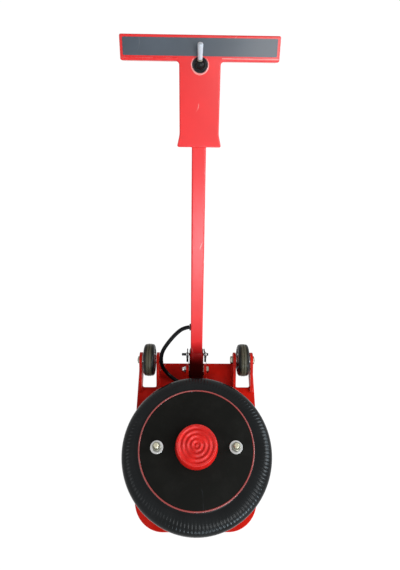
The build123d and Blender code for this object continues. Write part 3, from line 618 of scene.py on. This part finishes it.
def smooth_line(points, steps=12):
    """Points read from a smooth curve that has the given points as its controls."""
    curve = bpy.data.curves.new("line", "CURVE")
    curve.dimensions = "3D"
    spline = curve.splines.new("NURBS")
    spline.points.add(len(points) - 1)
    for control, point in zip(spline.points, points):
        control.co = (*point, 1)
    spline.order_u = 3
    spline.use_endpoint_u = True
    curve.resolution_u = steps
    holder = add_object("line", curve)
    depsgraph = bpy.context.evaluated_depsgraph_get()
    mesh = bpy.data.meshes.new_from_object(holder.evaluated_get(depsgraph))
    line = [vertex.co.copy() for vertex in mesh.vertices]
    bpy.data.objects.remove(holder)
    bpy.data.curves.remove(curve)
    bpy.data.meshes.remove(mesh)
    return line


def tube_rings(line, radius, sides=16):
    """Rings round a line of points, turned as little as possible from one to the next."""
    rings = []
    side = Vector((0.31, 0.62, 0.72))
    for i, point in enumerate(line):
        along = (line[min(i + 1, len(line) - 1)] - line[max(i - 1, 0)]).normalized()
        side = (side - along * side.dot(along)).normalized()
        other = along.cross(side)
        turns = [tau * k / sides for k in range(sides)]
        rings.append([point + (side * cos(a) + other * sin(a)) * radius for a in turns])
    return rings


def line_length(line):
    return sum((b - a).length for a, b in zip(line, line[1:]))


hose_line = smooth_line(HOSE_POINTS)
hose = ring_piece("air_hose", tube_rings(hose_line, HOSE_DIAMETER / 2, 20), hose_rubber)
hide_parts("hose")
line_length(hose_line)
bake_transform(hose)
print("hose length", round(line_length(hose_line), 4))

# %% [markdown]
# ## The air bag
# The bag is two black lobes with a steel hoop in the waist between them. Its rubber is
# moulded with 122 fine radial ribs that run over each lobe. They are real ridges in the
# mesh, because they show in outline and catch the light one by one. Each lobe has its
# own piece; the two bodies that LOBE_ENDS gives it are not used.

# %% Bag lobes
BAG_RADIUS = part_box("bag_upper_lobe")[1].x
BEAD_RADIUS = 0.1005
CROWN_RADIUS = 0.1280
CROWN_DIP = 0.0022  # how far the rubber drops beside the rim, between these two radii
DIP_START, DIP_LEVEL = 0.1155, 0.1175
BAG_WALL = 0.004
RIB_COUNT = 122
RIB_STEPS = 10
RIB_DEPTH = 0.00045
RIB_RISE = (0.1220, 0.1340)
RIB_FADE, FADE_SHARE = (0.1430, 0.1510), 0.85
SETTLE, SETTLE_START = Vector((0.0014, -0.0030)), 0.1180


def smooth_share(value, low, high):
    """0 at low, 1 at high, and a soft rise between."""
    share = min(1.0, max(0.0, (value - low) / (high - low)))
    return share * share * (3 - 2 * share)


def lobe_outline(low, high):
    """Outer skin of one lobe, as (radius, height, across, up): the last two point out."""
    half, middle, reach = (high - low) / 2, (high + low) / 2, BAG_RADIUS - CROWN_RADIUS
    flank = []
    for step in range(12):
        radius = BEAD_RADIUS + (CROWN_RADIUS - BEAD_RADIUS) * step / 12
        dip = CROWN_DIP * (1 - smooth_share(radius, DIP_LEVEL, CROWN_RADIUS))
        flank.append((radius, half - dip if radius > DIP_START else half))
    points = [(radius, middle + up, 0, 1) for radius, up in flank]
    for step in range(31):
        turn = radians(90 - 180 * step / 30)
        out = Vector((cos(turn) / reach, sin(turn) / half)).normalized()
        at = (CROWN_RADIUS + reach * cos(turn), middle + half * sin(turn))
        points.append((*at, *out))
    return points + [(radius, middle - up, 0, -1) for radius, up in reversed(flank)]


def skin_ring(radius, height, across, up):
    """One ring of the skin: ribs, and the slight lean to the front of a bag at rest."""
    depth = RIB_DEPTH * smooth_share(radius, *RIB_RISE)
    depth *= 1 - FADE_SHARE * smooth_share(radius, *RIB_FADE)
    settle = SETTLE * smooth_share(radius, SETTLE_START, BAG_RADIUS)
    ring = []
    for i in range(RIB_COUNT * RIB_STEPS):
        angle = tau * i / (RIB_COUNT * RIB_STEPS)
        ridge = depth * (0.5 - 0.5 * cos(tau * i / RIB_STEPS)) ** 3
        reach = radius - ridge * across
        x, y = reach * cos(angle) + settle.x, reach * sin(angle) + settle.y
        ring.append((x, y, height - ridge * up))
    return ring


def lobe_rings(low, high):
    """Closed rings of one hollow lobe."""
    low_inside, high_inside = low + BAG_WALL, high - BAG_WALL
    half, reach = (high - low) / 2 - BAG_WALL, BAG_RADIUS - CROWN_RADIUS - BAG_WALL
    arc = [radians(90 - 180 * k / 12) for k in range(1, 12)]
    inner = [(BEAD_RADIUS, high_inside), (CROWN_RADIUS, high_inside)]
    inner += [(CROWN_RADIUS + reach * cos(a), (high + low) / 2 + half * sin(a)) for a in arc]
    inner += [(CROWN_RADIUS, low_inside), (BEAD_RADIUS, low_inside)]
    skin = [skin_ring(*point) for point in reversed(lobe_outline(low, high))]
    return skin + spin(inner, RIB_COUNT * RIB_STEPS)


LOBE_ENDS = {"bag_lower_lobe": ("base", "girdle"), "bag_upper_lobe": ("girdle", "top")}
for name, (lower_body, upper_body) in LOBE_ENDS.items():
    low, high = heights(name)
    rings = lobe_rings(low, high)
    lobe = ring_piece(name.replace("lobe", "skin"), rings, bag_rubber, loop=True, sharp=60)
    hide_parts(name)
    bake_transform(lobe)
print("bag radius", BAG_RADIUS)

# %% [markdown]
# ## The top of the bag
# A steel lid closes the bag. Its crimped rim shows as a thin red ring round a black
# rubber pad. The hoop, lid, pad and saddle are turned parts, so each is one outline.

# %% Hoop, lid and pad
hoop_low, hoop_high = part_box("girdle_hoop")
hoop_wire = (hoop_high.z - hoop_low.z) / 2
hoop_radius, hoop_height = hoop_high.x - hoop_wire, (hoop_low.z + hoop_high.z) / 2
turns = [tau * step / 16 for step in range(16)]
wire = [(hoop_radius + hoop_wire * cos(a), hoop_height + hoop_wire * sin(a)) for a in turns]
hoop = ring_piece("girdle_ring", spin(wire, 160), black_steel, "girdle", loop=True)
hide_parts("girdle_hoop")

SCREW_BORE = 0.0062
LID_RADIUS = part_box("upper_bead_plate")[1].x
RIM_INSIDE = LID_RADIUS - 0.003
lid = turned("lid_plate", [
    (SCREW_BORE, LID_LOW, 0), (LID_RADIUS, LID_LOW, 0.0008), (LID_RADIUS, LID_TOP, 0.0013),
    (RIM_INSIDE, LID_TOP, 0.0013), (RIM_INSIDE, PAD_LOW, 0.0004), (SCREW_BORE, PAD_LOW, 0),
], red_rim, "top", segments=160)
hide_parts("upper_bead_plate")

PAD_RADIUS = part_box("top_pad")[1].x
pad = turned("rubber_pad", [
    (SCREW_BORE, PAD_LOW, 0), (PAD_RADIUS, PAD_LOW, 0), (PAD_RADIUS, PAD_TOP, 0.0008),
    (SCREW_BORE, PAD_TOP, 0),
], pad_rubber, "top", segments=160)
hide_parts("top_pad")
print("hoop, lid and pad radius", hoop_high.x, LID_RADIUS, PAD_RADIUS)

# %% [markdown]
# The saddle is cast iron: a short straight foot, slightly tapered sides and four rounded
# ridges round a small pip. The ridges are half waves, worked out from their spacing.

# %% Saddle
SADDLE_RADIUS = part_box("saddle")[1].x
SADDLE_FOOT = 0.007
SADDLE_CROWN = 0.0396
SADDLE_SOCKET = 0.0051
RIDGE_PITCH = 0.00895
RIDGE_STEPS = 64
GROOVE_DEPTH = 0.0026


def saddle_outline():
    points = soften([
        (SADDLE_SOCKET, PAD_TOP, 0), (SADDLE_RADIUS, PAD_TOP, 0.0006),
        (SADDLE_RADIUS, PAD_TOP + SADDLE_FOOT, 0.0012), (SADDLE_CROWN, SADDLE_TOP, 0.0018),
        (SADDLE_CROWN - 0.002, SADDLE_TOP, 0),
    ])
    for step in range(RIDGE_STEPS):
        radius = (SADDLE_CROWN - 0.0022) * (1 - step / RIDGE_STEPS)
        wave = 0.5 - 0.5 * cos(tau * radius / RIDGE_PITCH)
        points.append((max(radius, CENTRE), SADDLE_TOP - GROOVE_DEPTH * wave**1.2))
    return points + [(CENTRE, SADDLE_TOP)]


saddle = ring_piece("load_saddle", spin(saddle_outline(), 128), red_saddle, "top")
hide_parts("saddle")
print("saddle radius", SADDLE_RADIUS)

# %% [markdown]
# ## Hexagons and threads
# A nut is a hexagon cut back at its corners by a cone, and a thread is a ring whose
# radius rises and falls as it climbs. Both come from rings with the right radius for
# each angle.


# %% Hexagon and thread rings
HEX_SEGMENTS = 48
CORNER_CUT = tan(radians(30))
FACE_SHARE = 0.95  # the round face of a nut, as a share of its width over flats
BORE_CHAMFER = 0.0007


def hex_reach(angle, flats):
    """Distance from the axis to a hexagon's side in one direction."""
    return flats / 2 / cos((angle + pi / 6) % (pi / 3) - pi / 6)


def hex_rings(flats, low, high, bore=0.0, crown=0.0):
    """Closed rings of a nut with a bore, or of a bolt head with a slightly raised top."""
    face = flats / 2 * FACE_SHARE
    if bore:
        inside, top = bore, [(bore + BORE_CHAMFER, high), (bore, high - BORE_CHAMFER)]
    else:
        inside, top = CENTRE, [(flats / 3, high + crown), (CENTRE, high + crown)]

    def wall(height, way):
        ring = []
        for i in range(HEX_SEGMENTS):
            angle = tau * i / HEX_SEGMENTS
            reach = hex_reach(angle, flats)
            cut = way * (reach - face) * CORNER_CUT
            ring.append((reach * cos(angle), reach * sin(angle), height + cut))
        return ring

    foot = spin([(inside, low), (face, low)], HEX_SEGMENTS)
    return foot + [wall(low, 1), wall(high, -1)] + spin([(face, high), *top], HEX_SEGMENTS)


def thread_rings(radius, low, high, pitch=0.0015, segments=24):
    """Rings of a screw thread with a chamfered end, six rows of points to a turn."""
    depth = pitch * 0.55
    rows = max(int((high - low) / pitch * 6), 2)
    rings = []
    for row in range(rows + 1):
        z = low + (high - low) * row / rows
        end = max(0.0, z - (high - pitch)) / pitch
        ring = []
        for i in range(segments):
            angle = tau * i / segments
            phase = (z / pitch - i / segments) % 1
            reach = radius - depth * abs(2 * phase - 1) - depth * end
            ring.append((reach * cos(angle), reach * sin(angle), z))
        rings.append(ring)
    return rings


# %% [markdown]
# ## Studs of the bag
# Two studs come up through the lid and the pad. Each has a washer and a nut, and the
# thread stands a little proud of the nut. The two nuts are turned by different amounts,
# as they would be when each is tightened by hand.

# %% Studs, nuts and washers
STUD_RADIUS = 0.005
STUD_HEAD = 0.011
STUD_BORE = 0.0053
THREAD_ROOM = 0.0001  # a thread is this much thinner than its nut's bore
washer_low, washer_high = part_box("stud_washers")
washer_radius = (washer_high.y - washer_low.y) / 2
stud_x = washer_high.x - washer_radius
nut_low, nut_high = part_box("stud_nuts")
stud_low, stud_high = heights("top_studs")


def washer_rings(radius, bore, low, high):
    outline = [(bore, low, 0), (radius, low, 0.0003), (radius, high, 0.0005), (bore, high, 0.0003)]
    return spin(soften(outline, closed=True, steps=3), 64)


def stud_pieces(side, word, turn):
    """One stud with its washer and nut, the nut turned to where it was tightened."""
    at = Matrix.Translation((side * stud_x, 0, 0)) @ rotation(turn, "Z")
    washer = washer_rings(washer_radius, STUD_BORE, washer_low.z, washer_high.z)
    nut = hex_rings(nut_high.y - nut_low.y, nut_low.z, nut_high.z, STUD_RADIUS)
    head = spin(soften([
        (CENTRE, stud_low, 0), (STUD_HEAD, stud_low, 0.0008), (STUD_HEAD, LID_LOW, 0.0004),
        (0.0048, LID_LOW, 0),
    ]), 24)
    thread = thread_rings(STUD_RADIUS - THREAD_ROOM, LID_LOW + 0.0005, stud_high)
    return (
        ring_piece("stud_washer_" + word, washer, zinc, "top", at, True),
        ring_piece("stud_nut_" + word, nut, nut_zinc, "top", at, True),
        ring_piece("stud_" + word, head + thread, stud_zinc, "top", at),
    )


for side, word, turn in ((-1, "left", 0.35), (1, "right", 0.12)):
    washer, nut, stud = stud_pieces(side, word, turn)
    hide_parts("stud_washers")
    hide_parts("stud_nuts")
    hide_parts("top_studs")
print("stud at", stud_x)

# %% [markdown]
# ## Bolts of the axles and the hinge
# The heads and nuts are small but bright, so they show. Each is made along local Z, like
# the nuts of the studs, and then turned to lie along its axle.

# %% Axle and pivot bolts
AXLE = joint_at["wheel_right_spin"]
AXLE_RADIUS = 0.005
AXLE_FLATS = 0.016
AXLE_HEAD, AXLE_NUT = 0.0064, 0.0042
fork_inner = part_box("wheel_ear_inner_right")[0].x
fork_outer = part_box("wheel_ear_outer_right")[1].x


def lie_along_x(line, mirrored=False, turn=0.0):
    """Turns local +Z into +X (or -X) and moves it to a bolt's line."""
    across = rotation((-1 if mirrored else 1) * pi / 2, "Y")
    return Matrix.Translation((0, line.y, line.z)) @ across @ rotation(turn, "Z")


def axle_pieces(side, word, turn):
    """A bolt head inside the fork, its shank, and a thin nut outside it."""
    at = lie_along_x(AXLE, side < 0, turn)
    flip = at @ rotation(pi, "X")
    thread_start, radius = fork_outer + 0.0002, AXLE_RADIUS - THREAD_ROOM
    head = hex_rings(AXLE_FLATS, -fork_inner, -fork_inner + AXLE_HEAD, 0, 0.0003)
    shank = spin([(radius, fork_inner), (radius, thread_start)], 32)
    end = thread_rings(radius, thread_start, fork_outer + AXLE_NUT + 0.0012)
    nut = hex_rings(AXLE_FLATS, fork_outer, fork_outer + AXLE_NUT, AXLE_RADIUS)
    return (
        ring_piece("axle_head_" + word, head, nut_zinc, "base", flip),
        ring_piece("axle_bolt_" + word, shank, plain_steel, "base", at),
        ring_piece("axle_thread_" + word, end, zinc, "base", at),
        ring_piece("axle_nut_" + word, nut, nut_zinc, "base", at, True),
    )


for side, word, turn in ((-1, "left", 0.2), (1, "right", 0.45)):
    *bolt, nut = axle_pieces(side, word, turn)
    for piece in bolt:
        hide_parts("axle_bolts")
    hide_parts("axle_nuts")

PIVOT_RADIUS = 0.004
PIVOT_FLATS, CAP_FLATS = 0.0125, 0.013
PIVOT_HEAD = 0.0053
CAP_WALL, CAP_DOME = 0.00465, 0.0057
hinge_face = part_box("hinge_ear_right")[1].x
pivot_at = lie_along_x(PIVOT, turn=0.3)
rings = hex_rings(PIVOT_FLATS, hinge_face, hinge_face + PIVOT_HEAD, 0, 0.0007)
head_piece = ring_piece("pivot_head", rings, nut_zinc, "base", pivot_at)
radius = PIVOT_RADIUS - THREAD_ROOM
rings = spin([(radius, -hinge_face - 0.004), (radius, hinge_face)], 32)
shank_piece = ring_piece("pivot_shank", rings, plain_steel, "base", pivot_at)
for piece in (head_piece, shank_piece):
    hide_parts("pivot_bolt")


def cap_nut_rings():
    """A hexagon that ends in a dome."""
    top = hinge_face + CAP_WALL
    rings = hex_rings(CAP_FLATS, hinge_face, top, PIVOT_RADIUS)[:5]
    turns = [pi / 2 * step / 12 for step in range(1, 12)]
    dome = [(CAP_DOME * cos(turn), top + CAP_DOME * sin(turn)) for turn in turns]
    return rings + spin(dome, HEX_SEGMENTS)


cap_at = lie_along_x(PIVOT, True, 0.1)
cap_nut = ring_piece("pivot_dome_nut", cap_nut_rings(), zinc, "base", cap_at)
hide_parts("pivot_cap_nut")
print("axle at", AXLE, "fork faces", fork_inner, fork_outer)

# %% [markdown]
# ## Wheels
# The tyres are solid black rubber. They are widest at the rim and narrow towards the
# tread, which is worn to a paler tan and has three smooth grooves running round it. The
# grooves are part of the outline that is spun, so they come out round and even.

# %% Tyres
tyre_low, tyre_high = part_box("wheel_tyre_right")
TYRE_RADIUS, TYRE_HALF = (tyre_high.z - tyre_low.z) / 2, (tyre_high.x - tyre_low.x) / 2
RIM_RADIUS = 0.0265
TREAD_HALF = 0.0076
TREAD_CROWN = 0.0010
SHOULDER_DROP = 0.0088
GROOVE_PITCH = 0.0056
TREAD_GROOVE = 0.0016
TREAD_STEPS = 48


def tyre_outline():
    """Across the tyre: bead, sloping side wall, shoulder, grooved tread and back again."""
    slope = TYRE_HALF - TREAD_HALF
    points = [(RIM_RADIUS, -TYRE_HALF + 0.001), (RIM_RADIUS + 0.0008, -TYRE_HALF + 0.0001)]
    for step in range(10):
        turn = pi / 2 * step / 10
        drop = TREAD_CROWN + SHOULDER_DROP * (1 - sin(turn))
        points.append((TYRE_RADIUS - drop, -TREAD_HALF - slope * cos(turn)))
    side_count = len(points)
    for step in range(TREAD_STEPS + 1):
        x = -TREAD_HALF + 2 * TREAD_HALF * step / TREAD_STEPS
        groove = max(0.0, cos(tau * x / GROOVE_PITCH)) ** 6
        crown = TREAD_CROWN * (x / TREAD_HALF) ** 2
        points.append((TYRE_RADIUS - crown - TREAD_GROOVE * groove, x))
    return points + [(r, -x) for r, x in reversed(points[:side_count])]


for side, word in ((-1, "left"), (1, "right")):
    at = Matrix.Translation((side * AXLE.x, 0, 0)) @ lie_along_x(AXLE)
    rings = spin(tyre_outline(), 128)
    tyre = ring_piece("tyre_" + word, rings, tyre_rubber, "wheel_" + word, at, True)
    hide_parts("wheel_tyre_" + word)
print("tyre radius", TYRE_RADIUS)

# %% [markdown]
# ## Springs and clips
# A coil spring on each end of the cross rod pulls the handle back to its rest. The wire
# is hooked over the rod above and through the hinge ear below. Each spring is one line,
# of two smooth hooks and a coil worked out turn by turn, with a thin tube round it.

# %% Return springs
SPRING_X = (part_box("hinge_ear_right")[0].x + hinge_face) / 2
SPRING_WIRE = 0.0005
COIL_LOW, COIL_HIGH = 0.0220, 0.0320
COIL_RADIUS = 0.0019
COIL_TURNS = 8.75
EAR_HOLE, EAR_REACH = 0.0103, 0.0038  # the hook through the ear: its height and half width
ROD_EYE, ROD_REACH = 0.0361, 0.0028  # the hook at the rod: its height and half width


def spring_line(side):
    """One wire in the handle's frame: hook through the ear, coil, hook at the rod."""
    x = side * SPRING_X
    near, far = x - EAR_REACH, x + EAR_REACH
    hook = [
        (near, 0, EAR_HOLE + 0.0042), (near, 0, EAR_HOLE), (x, 0, EAR_HOLE - 0.0003),
        (far, 0, EAR_HOLE), (far, 0, EAR_HOLE + 0.005), (x + COIL_RADIUS, 0, COIL_LOW - 0.002),
    ]
    coil = []
    steps = int(COIL_TURNS * 12)
    for step in range(steps + 1):
        turn = tau * COIL_TURNS * step / steps
        z = COIL_LOW + (COIL_HIGH - COIL_LOW) * step / steps
        coil.append(Vector((x + COIL_RADIUS * cos(turn), COIL_RADIUS * sin(turn), z)))
    over = [
        (x, -COIL_RADIUS, COIL_HIGH + 0.0006), (x, -ROD_REACH, COIL_HIGH + 0.002),
        (x, -ROD_REACH, ROD_EYE), (x, 0, ROD_EYE + 0.0002), (x, ROD_REACH, ROD_EYE),
        (x, ROD_REACH, ROD_EYE - 0.002),
    ]
    return smooth_line(hook, 4) + coil + smooth_line(over, 4)


def wire_pair(name, line_of, radius, sides):
    """One piece of two wires in the handle's frame, on its left and on its right."""
    wires = []
    for side in (-1, 1):
        rings = tube_rings(line_of(side), radius, sides)
        wires.append(ring_piece("wire", rings, black_steel, place=HANDLE))
    with bpy.context.temp_override(active_object=wires[0], selected_editable_objects=wires):
        bpy.ops.object.join()
    wires[0].name = name
    return wires[0]


springs = wire_pair("pull_springs", spring_line, SPRING_WIRE, 8)
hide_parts("return_springs")
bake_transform(springs)
print("springs", len(springs.data.vertices), "points")

# %% [markdown]
# Hairpin clips hold the rod in place. They are bent wire, so they are made as the springs
# are, from one line. Each leans its own way, since nobody pushes two in alike.

# %% Rod clips
CLIP_WIRE = 0.0012
ROD_HEIGHT = 0.0425
CLIP_LEAN = {-1: 0.03, 1: -0.22}
CLIP_LEGS = [  # (out, height) along a hairpin: a straight leg, the bend, a bowed leg
    (0, 0.0385), (0, 0.0440), (0, 0.0530), (-0.0004, 0.0576), (-0.0034, 0.0592),
    (-0.0064, 0.0576), (-0.0074, 0.0530), (-0.0058, 0.0480), (-0.0066, 0.0440),
    (-0.0066, 0.0415), (-0.0078, 0.0392),
]


def clip_line(side):
    """A hairpin: its straight leg goes through the rod, its bowed one passes in front."""
    lean = CLIP_LEAN[side]
    points = [(side * SPRING_X + lean * (z - ROD_HEIGHT), y, z) for y, z in CLIP_LEGS]
    return smooth_line(points, 8)


clips = wire_pair("hairpin_clips", clip_line, CLIP_WIRE, 10)
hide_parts("rod_clips")
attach(clips, "handle")
print("clips", len(clips.data.vertices), "points")

# %% [markdown]
# ## The air lever
# A ball joint sits in the head's round hole. A short steel stem with a round collar
# comes out of it and ends in a pale tapered knob. All three are turned parts, made along
# local Z and tipped by one matrix to where the lever rests.

# %% Lever
LEVER_UP = radians(55)  # how far the lever points up from straight out of the head
LEVER_TURN = radians(90) - LEVER_UP - HANDLE_LEAN
LEVER = Matrix.Translation(joint_at["lever_flip"]) @ rotation(LEVER_TURN, "X")
BALL_RADIUS, BALL_BORE, BALL_HALF = 0.0074, 0.0025, 0.0068
ball_outline = [(BALL_BORE, -BALL_HALF)]
for step in range(1, 24):
    turn = pi * step / 24 - pi / 2
    radius = BALL_RADIUS * cos(turn)
    if radius > BALL_BORE + 0.0001:
        ball_outline.append((radius, BALL_RADIUS * sin(turn)))
rings = spin(ball_outline + [(BALL_BORE, BALL_HALF)], 48)
ball = ring_piece("lever_pivot_ball", rings, boot_rubber, "lever", LEVER, True)
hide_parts("lever_ball")
stem = turned("lever_rod", [
    (CENTRE, -0.0037, 0), (0.0024, -0.0037, 0), (0.0024, 0.0078, 0), (0.0046, 0.0076, 0.0004),
    (0.0046, 0.0102, 0.0008), (0.0024, 0.0102, 0), (0.0024, 0.0160, 0.0002), (CENTRE, 0.0160, 0),
], nut_zinc, "lever", LEVER, 32, False)
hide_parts("lever_stem")
knob = turned("lever_grip", [
    (0.0025, 0.0160, 0), (0.0025, 0.0105, 0), (0.0040, 0.0105, 0.0008), (0.0048, 0.0330, 0.0010),
    (0.0046, 0.0378, 0.0034), (CENTRE, 0.0378, 0),
], pale_knob, "lever", LEVER, 48, False)
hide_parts("lever_knob")
print("lever pivot at", LEVER.translation)

# %% [markdown]
# A rubber boot closes the hole round the ball. The hole has a rolled lip, thick below and
# thin above, and a fold runs along the bar under the dark panel. Behind the head is the
# plug for the air supply. The lip and the fold are meshes, because they catch the light.
# The lip and the fold's right half are painted a pale red as a painted highlight.

# %% Boot, lip, fold and plug
VALVE_HEIGHT = 0.6388
AT_VALVE = HANDLE @ Matrix.Translation((0, 0, VALVE_HEIGHT))
FRONT = AT_VALVE @ rotation(pi / 2, "X")
BACK = AT_VALVE @ rotation(-pi / 2, "X")
boot = turned("lever_boot", [
    (0.0080, 0.01305, 0), (0.0080, 0.0160, 0.0006), (0.0092, 0.0163, 0.0008),
    (0.0105, 0.0154, 0.0006), (0.0123, 0.0160, 0.0012), (0.0123, 0.01305, 0),
], boot_rubber, "handle", FRONT, 64)
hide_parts("valve_boot")

HOLE_RADIUS, HOLE_FACE = 0.0146, 0.0154
LIP_LEAST, LIP_GROWTH = 0.0002, 0.0014


def lip_rings():
    """The rolled edge of the round hole: thick below, thin above."""
    rings = []
    for step in range(12):
        turn, ring = tau * step / 12, []
        for i in range(64):
            angle = tau * i / 64
            size = LIP_LEAST + LIP_GROWTH * (0.5 - 0.5 * sin(angle))
            radius = HOLE_RADIUS + size * cos(turn)
            height = HOLE_FACE + size * sin(turn)
            ring.append((radius * cos(angle), radius * sin(angle), height))
        rings.append(ring)
    return rings


# The lip is painted pale red, a painted highlight.
lip = ring_piece("lip_painted_highlight", lip_rings(), lip_painted_highlight, "handle", FRONT, True)

FOLD_HEIGHT, FOLD_FRONT, FOLD_RADIUS = 0.6483, -0.0155, 0.0009
FOLD_ENDS = (0.0370, 0.1330)
# The fold's right half gets the lip's pale red, a painted highlight; its left half is the handle's
# red.
for side, word, paint_or_highlight in ((-1, "left", red_handle), (1, "right", lip_painted_highlight)):
    start, end = (Vector((side * x, FOLD_FRONT, FOLD_HEIGHT)) for x in FOLD_ENDS)
    rings = tube_rings([start.lerp(end, i / 24) for i in range(25)], FOLD_RADIUS, 10)
    fold = ring_piece("bar_fold_" + word, rings, paint_or_highlight, "handle", HANDLE)

PLUG_FLATS, PLUG_LOW, PLUG_HEX_TOP = 0.017, 0.01575, 0.02175
plug = turned("plug_spigot", [
    (0.0020, PLUG_LOW, 0), (0.0060, PLUG_LOW, 0), (0.0060, 0.02855, 0.0010),
    (0.0031, 0.02875, 0.0003), (0.0031, 0.0312, 0.0003), (0.0040, 0.0319, 0.0004),
    (0.0040, 0.0419, 0.0008), (0.0020, 0.0427, 0),
], nickel, "handle", BACK, 48)
rings = hex_rings(PLUG_FLATS, PLUG_LOW, PLUG_HEX_TOP, 0.0059)
plug_hex = ring_piece("plug_hexagon", rings, nickel, "handle", BACK, True)
for piece in (plug, plug_hex):
    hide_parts("air_inlet_plug")
print("valve at", AT_VALVE.translation)

# %% [markdown]
# ## Welds
# The ears are welded to the plate with short fillet beads. A bead is a half-round worm
# of metal whose surface ripples once for every stroke of the torch.


# %% Weld beads
WELD_RIPPLE = 0.0022
SIDE_WELD, NOSE_WELD, HINGE_WELD = 0.0022, 0.0026, 0.0020
PLATE_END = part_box("base_plate")[1].y


def weld(name, start, end, radius):
    """A rippled bead of plate red between two points (x, y) on the plate."""
    start, end = Vector((*start, PLATE_TOP)), Vector((*end, PLATE_TOP))
    count = max(int((end - start).length / WELD_RIPPLE) * 6, 6)
    rng = random.Random(name)
    line = [start.lerp(end, i / count) for i in range(count + 1)]
    shaped = []
    for i, (centre, ring) in enumerate(zip(line, tube_rings(line, 1.0, 10))):
        wave = 0.86 + 0.14 * abs(sin(pi * i / 6)) + rng.uniform(-0.03, 0.03)
        taper = min(1.0, 0.35 + 0.25 * min(i, count - i))
        shaped.append([centre + (point - centre) * radius * wave * taper for point in ring])
    bead = ring_piece(name, shaped, red_plate, "base", sharp=60)


for word, side in (("left", -1), ("right", 1)):
    for place in ("inner", "outer"):
        low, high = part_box(f"wheel_ear_{place}_{word}")
        for edge, x in (("a", low.x), ("b", high.x)):
            in_fork = (place == "inner") == ((edge == "b") == (side > 0))
            y_end = PLATE_END - (0.060 if in_fork else 0.004)  # inside, the plate is cut away
            weld(f"weld_{place}_{word}_{edge}", (x, low.y + 0.001), (x, y_end), SIDE_WELD)
        weld(f"weld_nose_{place}_{word}", low.xy, (high.x, low.y), NOSE_WELD)
    low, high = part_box(f"hinge_ear_{word}")
    x = low.x if side < 0 else high.x
    weld(f"weld_hinge_{word}", (x, low.y + 0.001), (x, high.y - 0.001), HINGE_WELD)

# %% [markdown]
# ## Floor and light
# The floor is a plain pale sheet that glows almost white where it is seen, and keeps a
# faint shadow. The world does the same: white to the eye, dim as a light. Of the six
# round lamps the key stands above and in front, on the right, and gives the handle its
# even red. Three pale blue ones give the bag its sheen, and two weak ones fill in.


# %% Floor, world and lamps
def seen_directly(tree):
    """1 for rays that show the surroundings: from the camera, a reflection or glass."""
    path = add_node(tree, "ShaderNodeLightPath")
    shown = maths(tree, "MAXIMUM", path.outputs["Is Camera Ray"], path.outputs["Is Glossy Ray"])
    return maths(tree, "MAXIMUM", shown, path.outputs["Is Transmission Ray"])


def floor_material():
    material, tree, shader = new_material("pale_floor")
    fill(tree, shader, {"Base Color": (0.86, 0.86, 0.86, 1), "Roughness": 0.9})
    glow = add_node(tree, "ShaderNodeEmission", {"Strength": 1.08})
    share = product(tree, seen_directly(tree), 0.92)
    inputs = {0: share, 1: shader.outputs[0], 2: glow.outputs[0]}
    mix = add_node(tree, "ShaderNodeMixShader", inputs)
    fill(tree, tree.nodes["Material Output"], {"Surface": mix.outputs[0]})
    return material


def add_floor(size=12.0):
    mesh = bpy.data.meshes.new("floor")
    corners = [(-size, -size, 0), (size, -size, 0), (size, size, 0), (-size, size, 0)]
    mesh.from_pydata(corners, [], [(0, 1, 2, 3)])
    floor = add_object("floor", mesh)
    dress(floor, floor_material())


def add_world(dim=0.30, seen=1.0):
    world = bpy.data.worlds.new("studio")
    world.use_nodes = True
    tree = world.node_tree
    strength = ramp(tree, seen_directly(tree), 0, 1, dim, seen)
    fill(tree, tree.nodes["Background"], {"Color": (1, 1, 1, 1), "Strength": strength})
    scene.world = world


def add_lamp(name, place, target, size, power, colour):
    data = bpy.data.lights.new(name, "AREA")
    data.color = colour
    data.shape = "DISK"
    data.size = size
    data.energy = power
    lamp = add_object(name, data)
    lamp.location = place
    lamp.rotation_euler = (Vector(target) - Vector(place)).to_track_quat("-Z", "Y").to_euler()


WHITE, SKY = (1.0, 1.0, 1.0), (0.78, 0.91, 1.0)
LAMPS = [  # name, place, target, size, power, colour
    ("key", (0.65, -1.1, 1.8), (0, 0.3, 0.3), 0.8, 12.5, WHITE),
    ("front", (0.2, -2.1, 0.95), (0, 0.2, 0.25), 0.6, 13, SKY),
    ("front right", (1.4, -1.5, 0.9), (0, 0, 0.1), 0.6, 23, SKY),
    ("side", (1.7, 0.45, 0.95), (0, 0, 0.1), 0.9, 18, SKY),
    ("near right", (0.75, 0.05, 0.65), (0.1, 0, 0), 0.3, 2.0, WHITE),
    ("fill", (-1.4, -0.2, 1.4), (0, 0.2, 0.2), 0.8, 4, WHITE),
]
add_floor()
add_world()
for lamp in LAMPS:
    add_lamp(*lamp)
print("lamps", len(LAMPS))
